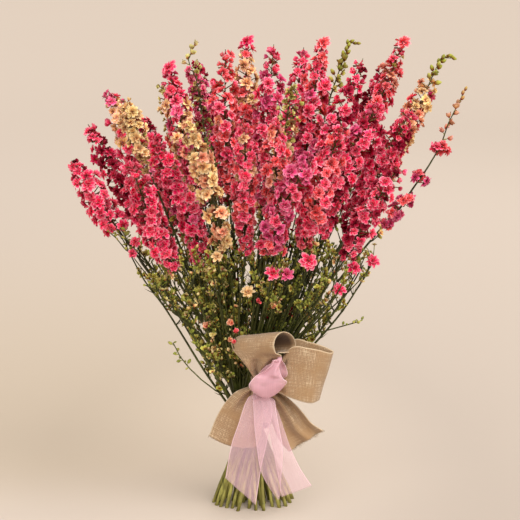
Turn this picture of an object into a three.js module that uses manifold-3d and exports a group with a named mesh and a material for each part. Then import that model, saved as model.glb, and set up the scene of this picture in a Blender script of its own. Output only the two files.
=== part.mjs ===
// A hand-tied bunch of larkspur (garden delphinium) that stands on its splayed, cut stem ends.
// Millimetres, +Z up, the front with the bow looks along -Y.
//
// Thirty-two flower spikes lean outwards from a narrow waist, where twine binds them. A strip of
// burlap hides the twine and is tied in front into a bow, with a sheer ribbon knotted over it.
// Every spike is a floret head on a stalk. Stalks are fused in pairs where the tie presses them.
import * as THREE from "three";
import { mergeVertices } from "three/addons/utils/BufferGeometryUtils.js";
import Module from "manifold-3d";

const wasm = await Module();
wasm.setup();

// ---- Driving sizes of the bunch ------------------------------------------------------------
const WAIST_Z = 108; // height of the narrowest place
const WAIST_SHARE = new THREE.Vector2(0.09, 0.065); // of a pair's reach, for where it passes the waist
const WAIST_SPACING = 6;
const WAIST_CENTRE = new THREE.Vector2(-8, 0);
const FOOT_CENTRE = new THREE.Vector2(-5, 0);
const PRESSING_ROUNDS = 500;
const PRESSING_SQUEEZE = 0.995; // of the waist's pattern in each of the first rounds
const PAIR_HALF_SPACING = 1.9; // from a pair's middle to each of its stalks
const FOOT_SPREAD = new THREE.Vector2(0.15, 0.24); // of a tip's reach, for its foot on the other side
const FOOT_SCALE = 1.12; // growth of the waist's pattern down to the floor
const TIP_SLOPE_SHARE = 0.86; // of a spike's mean slope that is left at its tip
const NOD_START = 0.8; // share of the height above the waist from which a nodding tip curves over
const STALK_FOOT_RADIUS = 3.1;
const STALK_TOP_RADIUS = 1.9;
const STALK_SIDES = 5;
const STALK_SEGMENTS = 7;
const STALK_CROWDING = 1.35; // above 1, rings stand closer together near the waist than near the head
const SEAT_GAP = 0.3; // between a stalk's end and the head that it carries
const LEVEL = 18; // height step at which neighbouring spikes are kept apart
const BENDING_ROUNDS = 150;
const PUSH_SHARES = [0.19, 0.35, 0.51, 0.35, 0.19]; // of a push, for the levels round it
const CLEARANCE = 2; // between neighbours well away from the waist
const WAIST_CLEARANCE = 0.15; // share of the clearance that is kept at the waist
const CLEARANCE_RUN = 60; // height above or below the waist over which the rest is gained

// ---- Floret heads --------------------------------------------------------------------------
const CELLS = 3; // florets round the head in each row
const ROW_PITCH = 33; // length of head for each row of florets
const ROW_TWIST = 0.22; // radians that each row is turned on
const SEAT_RADIUS = 2.6;
const CORE_SHARE = 0.46; // radius of the valleys between florets, as a share of the head's radius
const CUP_SHARE = 0.7; // radius of a floret's cupped middle
const PETAL_REACH = 0.84; // how far a petal's tip lies towards the floret's rim

const COLOURS = { stem: 0x66782f, twine: 0x8a7350, burlap: 0xb89468, sheer: 0xe8a9b8 };
const TONES = {
  rose: 0xd9517c,
  hot: 0xd8336d,
  deep: 0xa82a52,
  coral: 0xe2707a,
  mauve: 0xc765a0,
  cream: 0xe0c48c,
  green: 0xb2b36a,
};

// One row for each spike, two by two as their stalks are fused:
// tip x, y, z, head length, head radius, tone, sideways nod of the tip
const SPIKES = [
  [-235, -30, 470, 150, 21, "rose", 0],
  [-220, 70, 500, 185, 20, "deep", 0],
  [-190, 5, 555, 205, 20, "rose", 0],
  [-155, 110, 510, 185, 20, "deep", 0],
  [-155, -110, 480, 170, 23, "hot", 0],
  [-165, -50, 550, 105, 15, "cream", 0],
  [-125, -85, 510, 190, 20, "hot", 0],
  [-85, -115, 530, 175, 18, "cream", 0],
  [-125, 60, 560, 190, 17, "cream", 0],
  [-80, 125, 585, 190, 20, "deep", 0],
  [-110, -15, 585, 190, 20, "rose", 0],
  [-85, 75, 605, 160, 14, "green", 0],
  [-45, -20, 600, 195, 21, "coral", 0],
  [-30, -110, 530, 185, 20, "rose", 0],
  [-15, 75, 605, 190, 20, "coral", 0],
  [-15, 150, 565, 185, 20, "deep", 0],
  [20, 0, 605, 210, 21, "rose", 0],
  [15, -120, 535, 190, 21, "coral", 0],
  [60, 100, 595, 200, 20, "rose", 0],
  [85, 15, 610, 210, 21, "rose", 0],
  [45, -60, 570, 140, 17, "green", 0],
  [55, -140, 495, 145, 22, "mauve", 0],
  [125, 70, 605, 160, 13, "green", 14],
  [125, -20, 585, 205, 22, "hot", 0],
  [105, -110, 525, 175, 22, "coral", 0],
  [150, -75, 550, 195, 23, "hot", 0],
  [185, 55, 605, 200, 20, "rose", 0],
  [175, 120, 575, 185, 20, "deep", 0],
  [245, 10, 590, 200, 17, "cream", 18],
  [260, -10, 555, 215, 14, "coral", 6],
  [195, -40, 535, 180, 21, "rose", 0],
  [180, -100, 475, 150, 18, "rose", 0],
];

// ---- Side twigs and thread leaves ------------------------------------------------------------
const TWIGS_PER_STALK = 1;
const TUFTS_PER_STALK = 1;
const LEAVES_PER_TUFT = 3;
const FOLIAGE_LOWEST = 200;
const TWIG_LENGTH = [20, 34];
const TWIG_RADIUS = 0.9;
const BUD_RADIUS = [2.6, 3.8];
const LEAF_LENGTH = [20, 30];
const LEAF_RADIUS = 0.9;
const FOLIAGE_MARGIN = 2.2; // kept between side shoots and everything else
const PLACING_TRIES = 40;
const BOW_ROOM = new THREE.Box3(new THREE.Vector3(-75, -130, 60), new THREE.Vector3(112, -36, 275));

// ---- Tie and bow ---------------------------------------------------------------------------
const RING_SIDES = 32;
const FITTING_STEPS = 120; // in which a ring finds its middle
const TWINE_Z = 121;
const TWINE_THICKNESS = 2.4;
const TWINE_GAP = 0.15; // between the outermost stalk and the twine
const WRAP_GAP = 0.5; // between the twine and the burlap round it
const BURLAP = 1.2; // thickness
const SHEER = 0.7;
const PLEATS = 4; // strips across a ribbon's width
const WRAP_MIDDLE_Z = 124;
const WRAP_TILT = 14; // how much higher the band sits in front than at the sides
const WRAP_HALF_HEIGHT = 19;
const KNOT_LEAN = -0.222; // the knots lean forwards with the stalks behind them
const BURLAP_KNOT = { low: [-2, 152], high: [18, 188], chamfer: 5, back: -36.6, depth: 15 };
const RIBBON_KNOT = { low: [0, 158], high: [16, 176], chamfer: 4, back: -53.3, depth: 7 };
const BOW_BACK = 2.8; // moves the whole bow back against the wrap

// Courses of the ribbons: middle x, y, z, half-width x, y, z, and the depth of the gathers
const BURLAP_LOOP_LEFT = [
  [6, -56, 189.1, 7, 0, 0, 0.8],
  [3, -67, 205, 12, 0, 1, 1.2],
  [-2, -80, 222, 22, 0, 0, 0.8],
  [-4, -88, 237, 27, 0, 2, 0],
  [4, -86, 248, 27, 0, 3, 0],
  [10, -76, 253, 27, 0, 1, 0],
  [17, -67, 247, 29, 0, -1, 0],
  [18, -64.5, 236, 30, 0, -3, 0],
  [16, -60, 218, 20, 0, -2, 0.8],
  [11, -53.5, 201, 12, 0, 0, 1.2],
  [9, -49, 189.1, 7, 0, 0, 0.8],
];
const BURLAP_LOOP_RIGHT = [
  [19.1, -54, 172, 0, 0, 9, 0.8],
  [34, -64, 184, 2, 0, 20, 1.2],
  [53, -74, 195, 3, 0, 34, 0.8],
  [74, -78, 195, 6, 0, 35, 0],
  [87, -75, 194, 9, 0, 34.5, 0],
  [92, -69, 193.5, 9, 0, 34.5, 0],
  [87, -63.5, 194, 9, 0, 34.5, 0],
  [74, -62, 197, 6, 0, 35, 0],
  [54, -61, 203, 0, 0, 37, 0.8],
  [34, -53.5, 187, 0, 0, 24, 1.2],
  [19.1, -46.5, 174, 0, 0, 8, 0.8],
];
const BURLAP_TAIL_LEFT = [
  [-4, -46, 166, 0, 0, -9, 1.5],
  [-18, -51, 150.5, 20, 0, -4.5, 2.2],
  [-28, -54, 125.5, 25, 0, -5.5, 2.5],
  [-34, -56, 102.5, 28, 0, -6.5, 2.5],
];
const BURLAP_TAIL_RIGHT = [
  [10, -46, 150.8, 7, 0, 0, 1],
  [28, -52, 142, 16, 0, 10, 2.2],
  [46, -57, 124, 20, 0, 12, 2.5],
  [63, -60, 106.5, 23, 0, 13.5, 2.5],
];
const RIBBON_LOOP = [
  [8, -62.4, 176.7, 6, 0, 0, 0],
  [14, -68, 190, 12, 0, 0, 0],
  [21, -76.5, 205, 15, 0, 0, 0],
  [26, -85, 217, 9, 0, 0, 0],
  [27, -90, 221.5, 5.5, 0, 0, 0],
  [23, -94, 216, 8, 0, 1, 0],
  [15, -96, 202, 15, 0, 2, 0],
  [11, -94, 187, 21, 0, 2, 0],
  [11, -86, 170, 18, 0, 1, 0],
  [11, -77, 161, 12, 0, 0, 0],
  [9, -68, 161.5, 8, 0, 0, 0],
  [8, -62.7, 166, 6, 0, 0, 0],
];
const RIBBON_TAIL_LEFT = [
  [3.5, -57, 157.3, 3, 0, 0, 0],
  [-8, -66, 140, 12, 0, 0, 1],
  [-13, -70, 110, 17, 0, 0, 1.5],
  [-17, -72, 75, 20, 0, 0, 1.5],
  [-22, -73, 38, 19, 0, -18, 1],
];
const RIBBON_TAIL_CENTRE = [
  [11.5, -58.4, 157.3, 3.5, 0, 0, 0],
  [10, -70, 140, 15, 0, 0, 1],
  [15, -76, 110, 18, 0, 0, 1.5],
  [16, -77, 80, 15, 0, 0, 1.5],
  [21.5, -77, 52, 10, 0, 0, 1],
  [28, -76, 29, 2.5, 0, 0, 0],
];
const RIBBON_TAIL_RIGHT = [
  [12, -54.6, 157.3, 3.5, 0, 0, 0],
  [20, -64, 125, 8, 0, 0, 1],
  [25, -68, 100, 11, 0, 0, 1],
  [34, -70, 75, 13, 0, 0, 1],
  [46, -71, 39.5, 17.5, 0, 8.5, 1],
];

// ---- Small tools ---------------------------------------------------------------------------
const vec = (x, y, z) => new THREE.Vector3(x, y, z);
const mix = THREE.MathUtils.lerp;
const clamp = THREE.MathUtils.clamp;

/** Repeatable random numbers from 0 to 1. */
function seededRandom(seed) {
  let state = seed >>> 0;
  return () => {
    state = (state + 0x6d2b79f5) >>> 0;
    let mixed = Math.imul(state ^ (state >>> 15), state | 1);
    mixed ^= mixed + Math.imul(mixed ^ (mixed >>> 7), mixed | 61);
    return ((mixed ^ (mixed >>> 14)) >>> 0) / 4294967296;
  };
}

/** A geometry from a list of points and a list of corner numbers. */
function geometryOf(points, faces) {
  const geometry = new THREE.BufferGeometry();
  const numbers = points.flatMap((point) => [point.x, point.y, point.z]);
  geometry.setAttribute("position", new THREE.Float32BufferAttribute(numbers, 3));
  geometry.setIndex(faces);
  return geometry;
}

/** The same surface with position alone and shared corners. */
function welded(geometry) {
  const bare = geometry.clone();
  bare.deleteAttribute("normal");
  bare.deleteAttribute("uv");
  return mergeVertices(bare, 1e-4);
}

function toSolid(geometry) {
  const bare = welded(geometry);
  const vertProperties = new Float32Array(bare.attributes.position.array);
  const triVerts = new Uint32Array(bare.index.array);
  return new wasm.Manifold(new wasm.Mesh({ numProp: 3, vertProperties, triVerts }));
}

function fromSolid(solid) {
  const mesh = solid.getMesh();
  const geometry = new THREE.BufferGeometry();
  geometry.setAttribute("position", new THREE.Float32BufferAttribute(mesh.vertProperties, 3));
  geometry.setIndex([...mesh.triVerts]);
  return geometry;
}

function named(name, geometry, colour, roughness) {
  const material = new THREE.MeshStandardMaterial({ color: colour, roughness, metalness: 0 });
  const flat = geometry.index ? geometry : mergeVertices(geometry);
  flat.computeVertexNormals();
  const mesh = new THREE.Mesh(flat, material);
  mesh.name = name;
  return mesh;
}

// ---- The course of each spike -----------------------------------------------------------------

/** Press the stalks' middles at the waist together until they lie side by side, each pair fused. */
function pressTogether(points) {
  for (let round = 0; round < PRESSING_ROUNDS; round += 1) {
    const squeeze = round < PRESSING_ROUNDS * 0.7 ? PRESSING_SQUEEZE : 1;
    points.forEach((point) => point.multiplyScalar(squeeze));
    points.forEach((first, k) => {
      points.slice(k + 1).forEach((second, m) => {
        const between = first.clone().sub(second);
        const fused = k >> 1 === (k + 1 + m) >> 1;
        const spacing = fused ? 2 * PAIR_HALF_SPACING : WAIST_SPACING;
        const parting = spacing - between.length();
        if (fused || parting > 0) {
          between.setLength(parting * 0.4);
          first.add(between);
          second.sub(between);
        }
      });
    });
  }
}

/** Where the stalks pass the waist: a quarter turn back from their tips, so that few cross. */
function waistPoints() {
  const points = [];
  for (let k = 0; k < SPIKES.length; k += 2) {
    const [ax, ay] = SPIKES[k];
    const [bx, by] = SPIKES[k + 1];
    const middle = new THREE.Vector2((ay + by) * WAIST_SHARE.x, -(ax + bx) * WAIST_SHARE.y);
    const across = new THREE.Vector2(ay - by, bx - ax).setLength(PAIR_HALF_SPACING);
    points.push(middle.clone().add(across), middle.clone().sub(across));
  }
  pressTogether(points);
  return points.map((point) => point.add(WAIST_CENTRE));
}

/** A smooth step between two points with given slopes, u from 0 to 1 over a height. */
function hermite(from, to, slopeFrom, slopeTo, height, u) {
  const u2 = u * u;
  const u3 = u2 * u;
  return new THREE.Vector2()
    .addScaledVector(from, 2 * u3 - 3 * u2 + 1)
    .addScaledVector(slopeFrom, (u3 - 2 * u2 + u) * height)
    .addScaledVector(to, 3 * u2 - 2 * u3)
    .addScaledVector(slopeTo, (u3 - u2) * height);
}

function makeSpike([x, y, z, length, radius, tone, nod], waist) {
  const tip = new THREE.Vector2(x, y);
  const local = waist.clone().sub(WAIST_CENTRE);
  const foot = local.multiplyScalar(FOOT_SCALE).add(FOOT_CENTRE).sub(tip.clone().multiply(FOOT_SPREAD));
  const straightTip = tip.clone().sub(new THREE.Vector2(nod, 0));
  const lower = waist.clone().sub(foot).divideScalar(WAIST_Z);
  const upper = straightTip.clone().sub(waist).divideScalar(z - WAIST_Z);
  const middle = lower.clone().add(upper).multiplyScalar(0.5);
  const lean = 1 / Math.hypot(1, upper.length());
  const seat = z - length * lean;
  const shifts = Array.from({ length: Math.ceil(z / LEVEL) + 3 }, () => new THREE.Vector2());
  const course = (height) => {
    if (height < WAIST_Z) {
      return hermite(foot, waist, lower, middle, WAIST_Z, height / WAIST_Z);
    }
    const u = (height - WAIST_Z) / (z - WAIST_Z);
    const last = upper.clone().multiplyScalar(TIP_SLOPE_SHARE);
    const at = hermite(waist, straightTip, middle, last, z - WAIST_Z, u);
    at.x += nod * Math.max(0, (u - NOD_START) / (1 - NOD_START)) ** 2;
    return at;
  };
  return { z, length, radius, tone, seat, shifts, course, lean };
}

/** The spike's middle at a height. */
function middleAt(spike, height) {
  const level = clamp(height / LEVEL, 0, spike.shifts.length - 1.001);
  const below = Math.floor(level);
  const shift = spike.shifts[below].clone().lerp(spike.shifts[below + 1], level - below);
  return spike.course(height).add(shift);
}

/** The head's share of its full radius: slimmer at the bottom, tapering to the tip. */
const fullness = (u) => Math.min(1, 0.62 + 1.3 * u) * Math.min(1, 0.32 + 1.25 * (1 - u));

/** The room that a spike takes at a height: its stalk's or its head's radius. */
function roomAt(spike, height) {
  if (height < spike.seat - 4) {
    const share = clamp(height / spike.seat, 0, 1);
    return mix(STALK_FOOT_RADIUS, STALK_TOP_RADIUS, share) / spike.lean ** 0.7;
  }
  const u = clamp((height - spike.seat) / (spike.z - spike.seat), 0, 1);
  return (spike.radius * 1.06 * fullness(u)) / spike.lean ** 0.5;
}

/**
 * The way in which two spikes are pushed apart over a stretch. Where one passes from one side of the
 * other to the opposite side, that is square to the crossing, and otherwise null: straight apart.
 */
function crossingWay(first, second, from, to) {
  const low = first.course(from).sub(second.course(from));
  const high = first.course(to).sub(second.course(to));
  if (low.dot(high) >= 0) {
    return null;
  }
  const turn = high.clone().sub(low);
  const way = new THREE.Vector2(-turn.y, turn.x).normalize();
  return way.dot(low) + way.dot(high) < 0 ? way.negate() : way;
}

/** Every two spikes with the ways in which they part below and above the waist. */
function neighbours(spikes) {
  const all = [];
  spikes.forEach((first, k) => {
    spikes.slice(k + 1).forEach((second, m) => {
      const top = Math.min(first.z, second.z);
      const below = crossingWay(first, second, 0, WAIST_Z);
      const above = crossingWay(first, second, WAIST_Z, top);
      const fused = k >> 1 === (k + 1 + m) >> 1;
      all.push({ first, second, top, below, above, fused });
    });
  });
  return all;
}

/** How far two spikes have to part at a height. */
function partingAt({ first, second, fused }, height, apart) {
  if (fused && height < first.seat - 30) {
    return 0;
  }
  const away = Math.abs(height - WAIST_Z) / CLEARANCE_RUN;
  const clearance = CLEARANCE * Math.min(1, WAIST_CLEARANCE + away);
  return Math.max(0, roomAt(first, height) + roomAt(second, height) + clearance - apart);
}

/** Bend neighbours clear of each other, level by level, with each push shared by nearby levels. */
function bendClear(spikes) {
  const pairs = neighbours(spikes);
  for (let round = 0; round < BENDING_ROUNDS; round += 1) {
    spikes.forEach((spike) => {
      spike.pushes = spike.shifts.map(() => new THREE.Vector2());
    });
    for (const pair of pairs) {
      for (let level = 0; level * LEVEL < pair.top + LEVEL; level += 1) {
        const height = Math.min(level * LEVEL, pair.top);
        const between = middleAt(pair.first, height).sub(middleAt(pair.second, height));
        const parting = partingAt(pair, height, between.length());
        const way = height < WAIST_Z ? pair.below : pair.above;
        const push = (way && parting > 0 ? way.clone() : between).setLength(parting * 0.3);
        pair.first.pushes[level].add(push);
        pair.second.pushes[level].sub(push);
      }
    }
    for (const spike of spikes) {
      spike.shifts.forEach((shift, level) => {
        PUSH_SHARES.forEach((part, n) => {
          shift.addScaledVector(spike.pushes[clamp(level + n - 2, 0, spike.pushes.length - 1)], part);
        });
      });
    }
    // The two stalks of a pair stay together at the waist
    for (const pair of pairs.filter((each) => each.fused)) {
      const level = WAIST_Z / LEVEL;
      const shared = pair.first.shifts[level].clone().lerp(pair.second.shifts[level], 0.5);
      pair.first.shifts[level].copy(shared);
      pair.second.shifts[level].copy(shared);
    }
  }
}

/** Middle, direction and two cross directions of a spike at a height. */
function frameAt(spike, height) {
  const at = middleAt(spike, height);
  const ahead = middleAt(spike, height + 5);
  const behind = middleAt(spike, height - 5);
  const along = vec(ahead.x - behind.x, ahead.y - behind.y, 10).normalize();
  const side = vec(1, 0, 0).addScaledVector(along, -along.x).normalize();
  const depth = side.clone().cross(along);
  return { at: vec(at.x, at.y, height), along, side, depth };
}

// ---- Stalks, twigs and leaves --------------------------------------------------------------------

/** Height of one of a stalk's rings. */
function ringHeight(spike, ring) {
  return (spike.seat - SEAT_GAP) * (ring / STALK_SEGMENTS) ** STALK_CROWDING;
}

/** The middle of the modelled stalk, which runs straight between its rings. */
function stalkMiddle(spike, height) {
  const place = STALK_SEGMENTS * clamp(height / (spike.seat - SEAT_GAP), 0, 0.999) ** (1 / STALK_CROWDING);
  const below = ringHeight(spike, Math.floor(place));
  const above = ringHeight(spike, Math.floor(place) + 1);
  const middle = middleAt(spike, below).lerp(middleAt(spike, above), (height - below) / (above - below));
  return vec(middle.x, middle.y, height);
}

/** A tapering closed tube with its rings across the spike and its foot cut flat on the floor. */
function stalkGeometry(spike) {
  const geometry = new THREE.CylinderGeometry(1, 1, 1, STALK_SIDES, STALK_SEGMENTS);
  const position = geometry.attributes.position;
  for (let k = 0; k < position.count; k += 1) {
    const share = position.getY(k) + 0.5;
    const frame = frameAt(spike, ringHeight(spike, share * STALK_SEGMENTS));
    const radius = mix(STALK_FOOT_RADIUS, STALK_TOP_RADIUS, share);
    const level = share < 0.001;
    const side = level ? vec(1, 0, 0) : frame.side;
    const depth = level ? vec(0, 1, 0) : frame.depth;
    const point = frame.at.clone();
    point.addScaledVector(side, position.getX(k) * radius);
    point.addScaledVector(depth, position.getZ(k) * radius * (level ? -1 : 1));
    position.setXYZ(k, point.x, point.y, point.z);
  }
  return geometry;
}

/** Points of a side shoot that leaves a stalk and curves up. */
function shootPoints(root, outwards, length, rise) {
  return [0, 0.45, 0.8, 1].map((u) => {
    return root.clone().addScaledVector(outwards, length * u).add(vec(0, 0, rise * u * u));
  });
}

/** A three-sided twig that swells to a bud at its end. */
function twigGeometry(points, budRadius) {
  const radii = [TWIG_RADIUS, TWIG_RADIUS * 0.8, budRadius, budRadius * 0.45];
  const geometry = new THREE.CylinderGeometry(1, 1, 1, 3, points.length - 1);
  const position = geometry.attributes.position;
  const along = points.at(-1).clone().sub(points[0]).normalize();
  const side = along.clone().cross(vec(0, 0, 1)).normalize();
  const depth = side.clone().cross(along);
  for (let k = 0; k < position.count; k += 1) {
    const ring = Math.round((position.getY(k) + 0.5) * (points.length - 1));
    const point = points[ring].clone();
    point.addScaledVector(side, position.getX(k) * radii[ring]);
    point.addScaledVector(depth, position.getZ(k) * radii[ring]);
    position.setXYZ(k, point.x, point.y, point.z);
  }
  return geometry;
}

/** A three-sided needle from a root towards a tip. */
function leafGeometry(root, tip) {
  const length = root.distanceTo(tip);
  const geometry = new THREE.ConeGeometry(LEAF_RADIUS, length, 3, 1);
  geometry.translate(0, length / 2, 0);
  const along = tip.clone().sub(root).normalize();
  const turn = new THREE.Quaternion().setFromUnitVectors(vec(0, 1, 0), along);
  geometry.applyQuaternion(turn);
  geometry.translate(root.x, root.y, root.z);
  return geometry;
}

/** Balls that fill the stalks and heads, for keeping side shoots clear of them. */
function filledRoom(spikes) {
  const balls = [];
  spikes.forEach((spike, k) => {
    for (let height = 60; height < spike.z; height += 5) {
      const onStalk = height < spike.seat;
      const at = onStalk ? stalkMiddle(spike, height) : frameAt(spike, height).at;
      balls.push({ at, radius: roomAt(spike, height), owner: onStalk ? k >> 1 : -1 });
    }
  });
  return balls;
}

function isClear(points, radius, owner, balls) {
  return points.every((point) => {
    if (BOW_ROOM.containsPoint(point)) {
      return false;
    }
    return balls.every((ball) => {
      return ball.owner === owner || ball.at.distanceTo(point) > ball.radius + radius + FOLIAGE_MARGIN;
    });
  });
}

/** Side shoots of one stalk, each tried at random until it is clear of everything else. */
function sideShoots(spike, owner, balls, random) {
  const shoots = [];
  const between = ([low, high]) => mix(low, high, random());
  const attempt = (make) => {
    for (let n = 0; n < PLACING_TRIES; n += 1) {
      const height = mix(FOLIAGE_LOWEST, spike.seat - 14, random());
      const frame = frameAt(spike, height);
      const angle = random() * 2 * Math.PI;
      const outwards = frame.side.clone().multiplyScalar(Math.cos(angle));
      outwards.addScaledVector(frame.depth, Math.sin(angle)).addScaledVector(frame.along, 0.7).normalize();
      if (make(stalkMiddle(spike, height), outwards)) {
        return;
      }
    }
  };
  for (let n = 0; n < TWIGS_PER_STALK; n += 1) {
    attempt((root, outwards) => {
      const points = shootPoints(root, outwards, between(TWIG_LENGTH), 6);
      const budRadius = between(BUD_RADIUS);
      const halfway = points[0].clone().lerp(points[1], 0.6);
      if (!isClear([halfway, ...points.slice(1)], budRadius, owner, balls)) {
        return false;
      }
      shoots.push(twigGeometry(points, budRadius));
      points.slice(1).forEach((at) => balls.push({ at, radius: budRadius, owner: -1 }));
      return true;
    });
  }
  for (let n = 0; n < TUFTS_PER_STALK; n += 1) {
    attempt((root, outwards) => {
      const turn = new THREE.Quaternion();
      const length = between(LEAF_LENGTH);
      const tips = [];
      for (let leaf = 0; leaf < LEAVES_PER_TUFT; leaf += 1) {
        turn.setFromAxisAngle(vec(0, 0, 1), (leaf - 1) * 0.55);
        tips.push(outwards.clone().applyQuaternion(turn).multiplyScalar(length).add(root));
      }
      const middles = tips.flatMap((tip) => [0.25, 0.5, 0.7].map((u) => tip.clone().lerp(root, u)));
      if (!isClear([...tips, ...middles], LEAF_RADIUS, owner, balls)) {
        return false;
      }
      tips.forEach((tip) => shoots.push(leafGeometry(root, tip)));
      [...tips, ...middles].forEach((at) => balls.push({ at, radius: LEAF_RADIUS, owner: -1 }));
      return true;
    });
  }
  return shoots;
}

function stemPairs(spikes) {
  const balls = filledRoom(spikes);
  const meshes = [];
  for (let pair = 0; pair < spikes.length / 2; pair += 1) {
    const random = seededRandom(900 + pair);
    const both = spikes.slice(2 * pair, 2 * pair + 2);
    const pieces = both.map(stalkGeometry);
    both.forEach((spike) => pieces.push(...sideShoots(spike, pair, balls, random)));
    const solid = pieces.map(toSolid).reduce((whole, piece) => whole.add(piece));
    const name = `stem_pair_${String(pair + 1).padStart(2, "0")}`;
    meshes.push(named(name, fromSolid(solid), COLOURS.stem, 0.75));
  }
  return meshes;
}

// ---- Floret heads --------------------------------------------------------------------------------

/**
 * A head of cupped florets in a honeycomb round the stalk's line. Each floret is a star of six
 * petals over one cell: its middle is cupped, its petals rise to the cell's six sides, and the
 * valleys between neighbours are the cell's border.
 */
function headGeometry(spike, random) {
  const rows = clamp(Math.round(spike.length / ROW_PITCH), 4, 8);
  const around = 2 * CELLS;
  const phase = random() * Math.PI;
  const points = [];
  const faces = [];
  const place = (turn, share, radius) => {
    const frame = frameAt(spike, mix(spike.seat, spike.z, share));
    const angle = phase + (turn * Math.PI) / CELLS;
    const out = frame.side.clone().multiplyScalar(Math.cos(angle));
    out.addScaledVector(frame.depth, Math.sin(angle));
    points.push(frame.at.clone().addScaledVector(out, radius));
    return points.length - 1;
  };
  const rowShare = (row) => 0.05 + 0.9 * (row / rows) * (1.16 - (0.16 * row) / rows);
  const border = [];
  for (let ring = 0; ring <= rows; ring += 1) {
    const low = rowShare(Math.max(ring - 0.5, 0));
    const high = rowShare(Math.min(ring + 0.5, rows));
    border.push([]);
    for (let k = 0; k < around; k += 1) {
      const zigzag = (k - ring) % 2 === 0 ? -1 : 1;
      const share = rowShare(ring) + (zigzag * (high - low)) / 6;
      const radius = spike.radius * CORE_SHARE * fullness(share);
      const turn = k + ring * ROW_TWIST;
      border[ring].push({ index: place(turn, share, radius), turn, share });
    }
  }
  const corner = (ring, k) => {
    const wrapped = ((k % around) + around) % around;
    const found = border[ring][wrapped];
    return { index: found.index, turn: found.turn + (k - wrapped), share: found.share };
  };
  for (let row = 0; row < rows; row += 1) {
    for (let k = row % 2; k < around; k += 2) {
      const rim = [corner(row, k - 1), corner(row, k), corner(row, k + 1)];
      rim.push(corner(row + 1, k + 1), corner(row + 1, k), corner(row + 1, k - 1));
      const share = (rowShare(row) + rowShare(row + 1)) / 2;
      const turn = k + (row + 0.5) * ROW_TWIST;
      const full = spike.radius * fullness(share);
      const cup = place(turn, share, full * (CUP_SHARE + 0.12 * random()));
      rim.forEach((from, n) => {
        const to = rim[(n + 1) % 6];
        const petalTurn = mix(turn, (from.turn + to.turn) / 2, PETAL_REACH);
        const petalShare = mix(share, (from.share + to.share) / 2, PETAL_REACH);
        const petal = place(petalTurn, petalShare, full * (0.88 + 0.16 * random()));
        faces.push(from.index, petal, to.index, cup, petal, from.index, cup, to.index, petal);
      });
    }
  }
  const seat = [];
  for (let k = 0; k < around; k += 1) {
    seat.push(place(k, 0, SEAT_RADIUS));
  }
  const tip = place(0, 1, 0);
  for (let k = 0; k < around; k += 1) {
    const next = (k + 1) % around;
    const [first, last] = [border[0], border[rows]];
    faces.push(seat[k], first[k].index, seat[next], seat[next], first[k].index, first[next].index);
    faces.push(last[k].index, tip, last[next].index);
    if (k > 0 && k < around - 1) {
      faces.push(seat[0], seat[k], seat[next]);
    }
  }
  return geometryOf(points, faces);
}

function heads(spikes) {
  return spikes.map((spike, k) => {
    const name = `head_${String(k + 1).padStart(2, "0")}`;
    return named(name, headGeometry(spike, seededRandom(100 + k)), TONES[spike.tone], 0.85);
  });
}

// ---- Tie and bow ------------------------------------------------------------------------------------

/** The narrowest circle round the bound stalks at a height. */
function boundAt(spikes, height) {
  const stalks = spikes.map((spike) => ({ at: middleAt(spike, height), room: roomAt(spike, height) }));
  const reach = ({ at, room }) => at.distanceTo(middle) + room;
  const middle = stalks[0].at.clone();
  for (let step = 1; step <= FITTING_STEPS; step += 1) {
    const farthest = stalks.reduce((best, stalk) => (reach(stalk) > reach(best) ? stalk : best));
    middle.lerp(farthest.at, 1 / (step + 1));
  }
  return { middle, reach: Math.max(...stalks.map(reach)) };
}

/** A closed ring whose four-cornered section is given for each angle. */
function ringGeometry(section) {
  const points = [];
  const faces = [];
  for (let k = 0; k < RING_SIDES; k += 1) {
    points.push(...section((2 * Math.PI * k) / RING_SIDES));
    const next = (k + 1) % RING_SIDES;
    for (let c = 0; c < 4; c += 1) {
      const [a, b] = [4 * k + c, 4 * k + ((c + 1) % 4)];
      const [d, e] = [4 * next + c, 4 * next + ((c + 1) % 4)];
      faces.push(a, d, b, b, d, e);
    }
  }
  return geometryOf(points, faces);
}

/** A corner of a ring that follows the bunch, a distance out from its stalks. */
function ringCorner(spikes, angle, height, out) {
  const { middle, reach } = boundAt(spikes, height);
  const radius = reach + out;
  return vec(middle.x + radius * Math.cos(angle), middle.y + radius * Math.sin(angle), height);
}

function twine(spikes) {
  const half = TWINE_THICKNESS / 2;
  const geometry = ringGeometry((angle) => [
    ringCorner(spikes, angle, TWINE_Z - half, TWINE_GAP),
    ringCorner(spikes, angle, TWINE_Z - half, TWINE_GAP + TWINE_THICKNESS),
    ringCorner(spikes, angle, TWINE_Z + half, TWINE_GAP + TWINE_THICKNESS),
    ringCorner(spikes, angle, TWINE_Z + half, TWINE_GAP),
  ]);
  return named("binding_twine", geometry, COLOURS.twine, 0.9);
}

function wrap(spikes) {
  const inner = TWINE_GAP + TWINE_THICKNESS + WRAP_GAP;
  const geometry = ringGeometry((angle) => {
    const middle = WRAP_MIDDLE_Z - WRAP_TILT * Math.sin(angle);
    const low = middle - WRAP_HALF_HEIGHT;
    const high = middle + WRAP_HALF_HEIGHT;
    return [
      ringCorner(spikes, angle, low, inner),
      ringCorner(spikes, angle, low, inner + BURLAP),
      ringCorner(spikes, angle, high, inner + BURLAP),
      ringCorner(spikes, angle, high, inner),
    ];
  });
  return named("burlap_wrap", geometry, COLOURS.burlap, 0.95);
}

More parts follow.
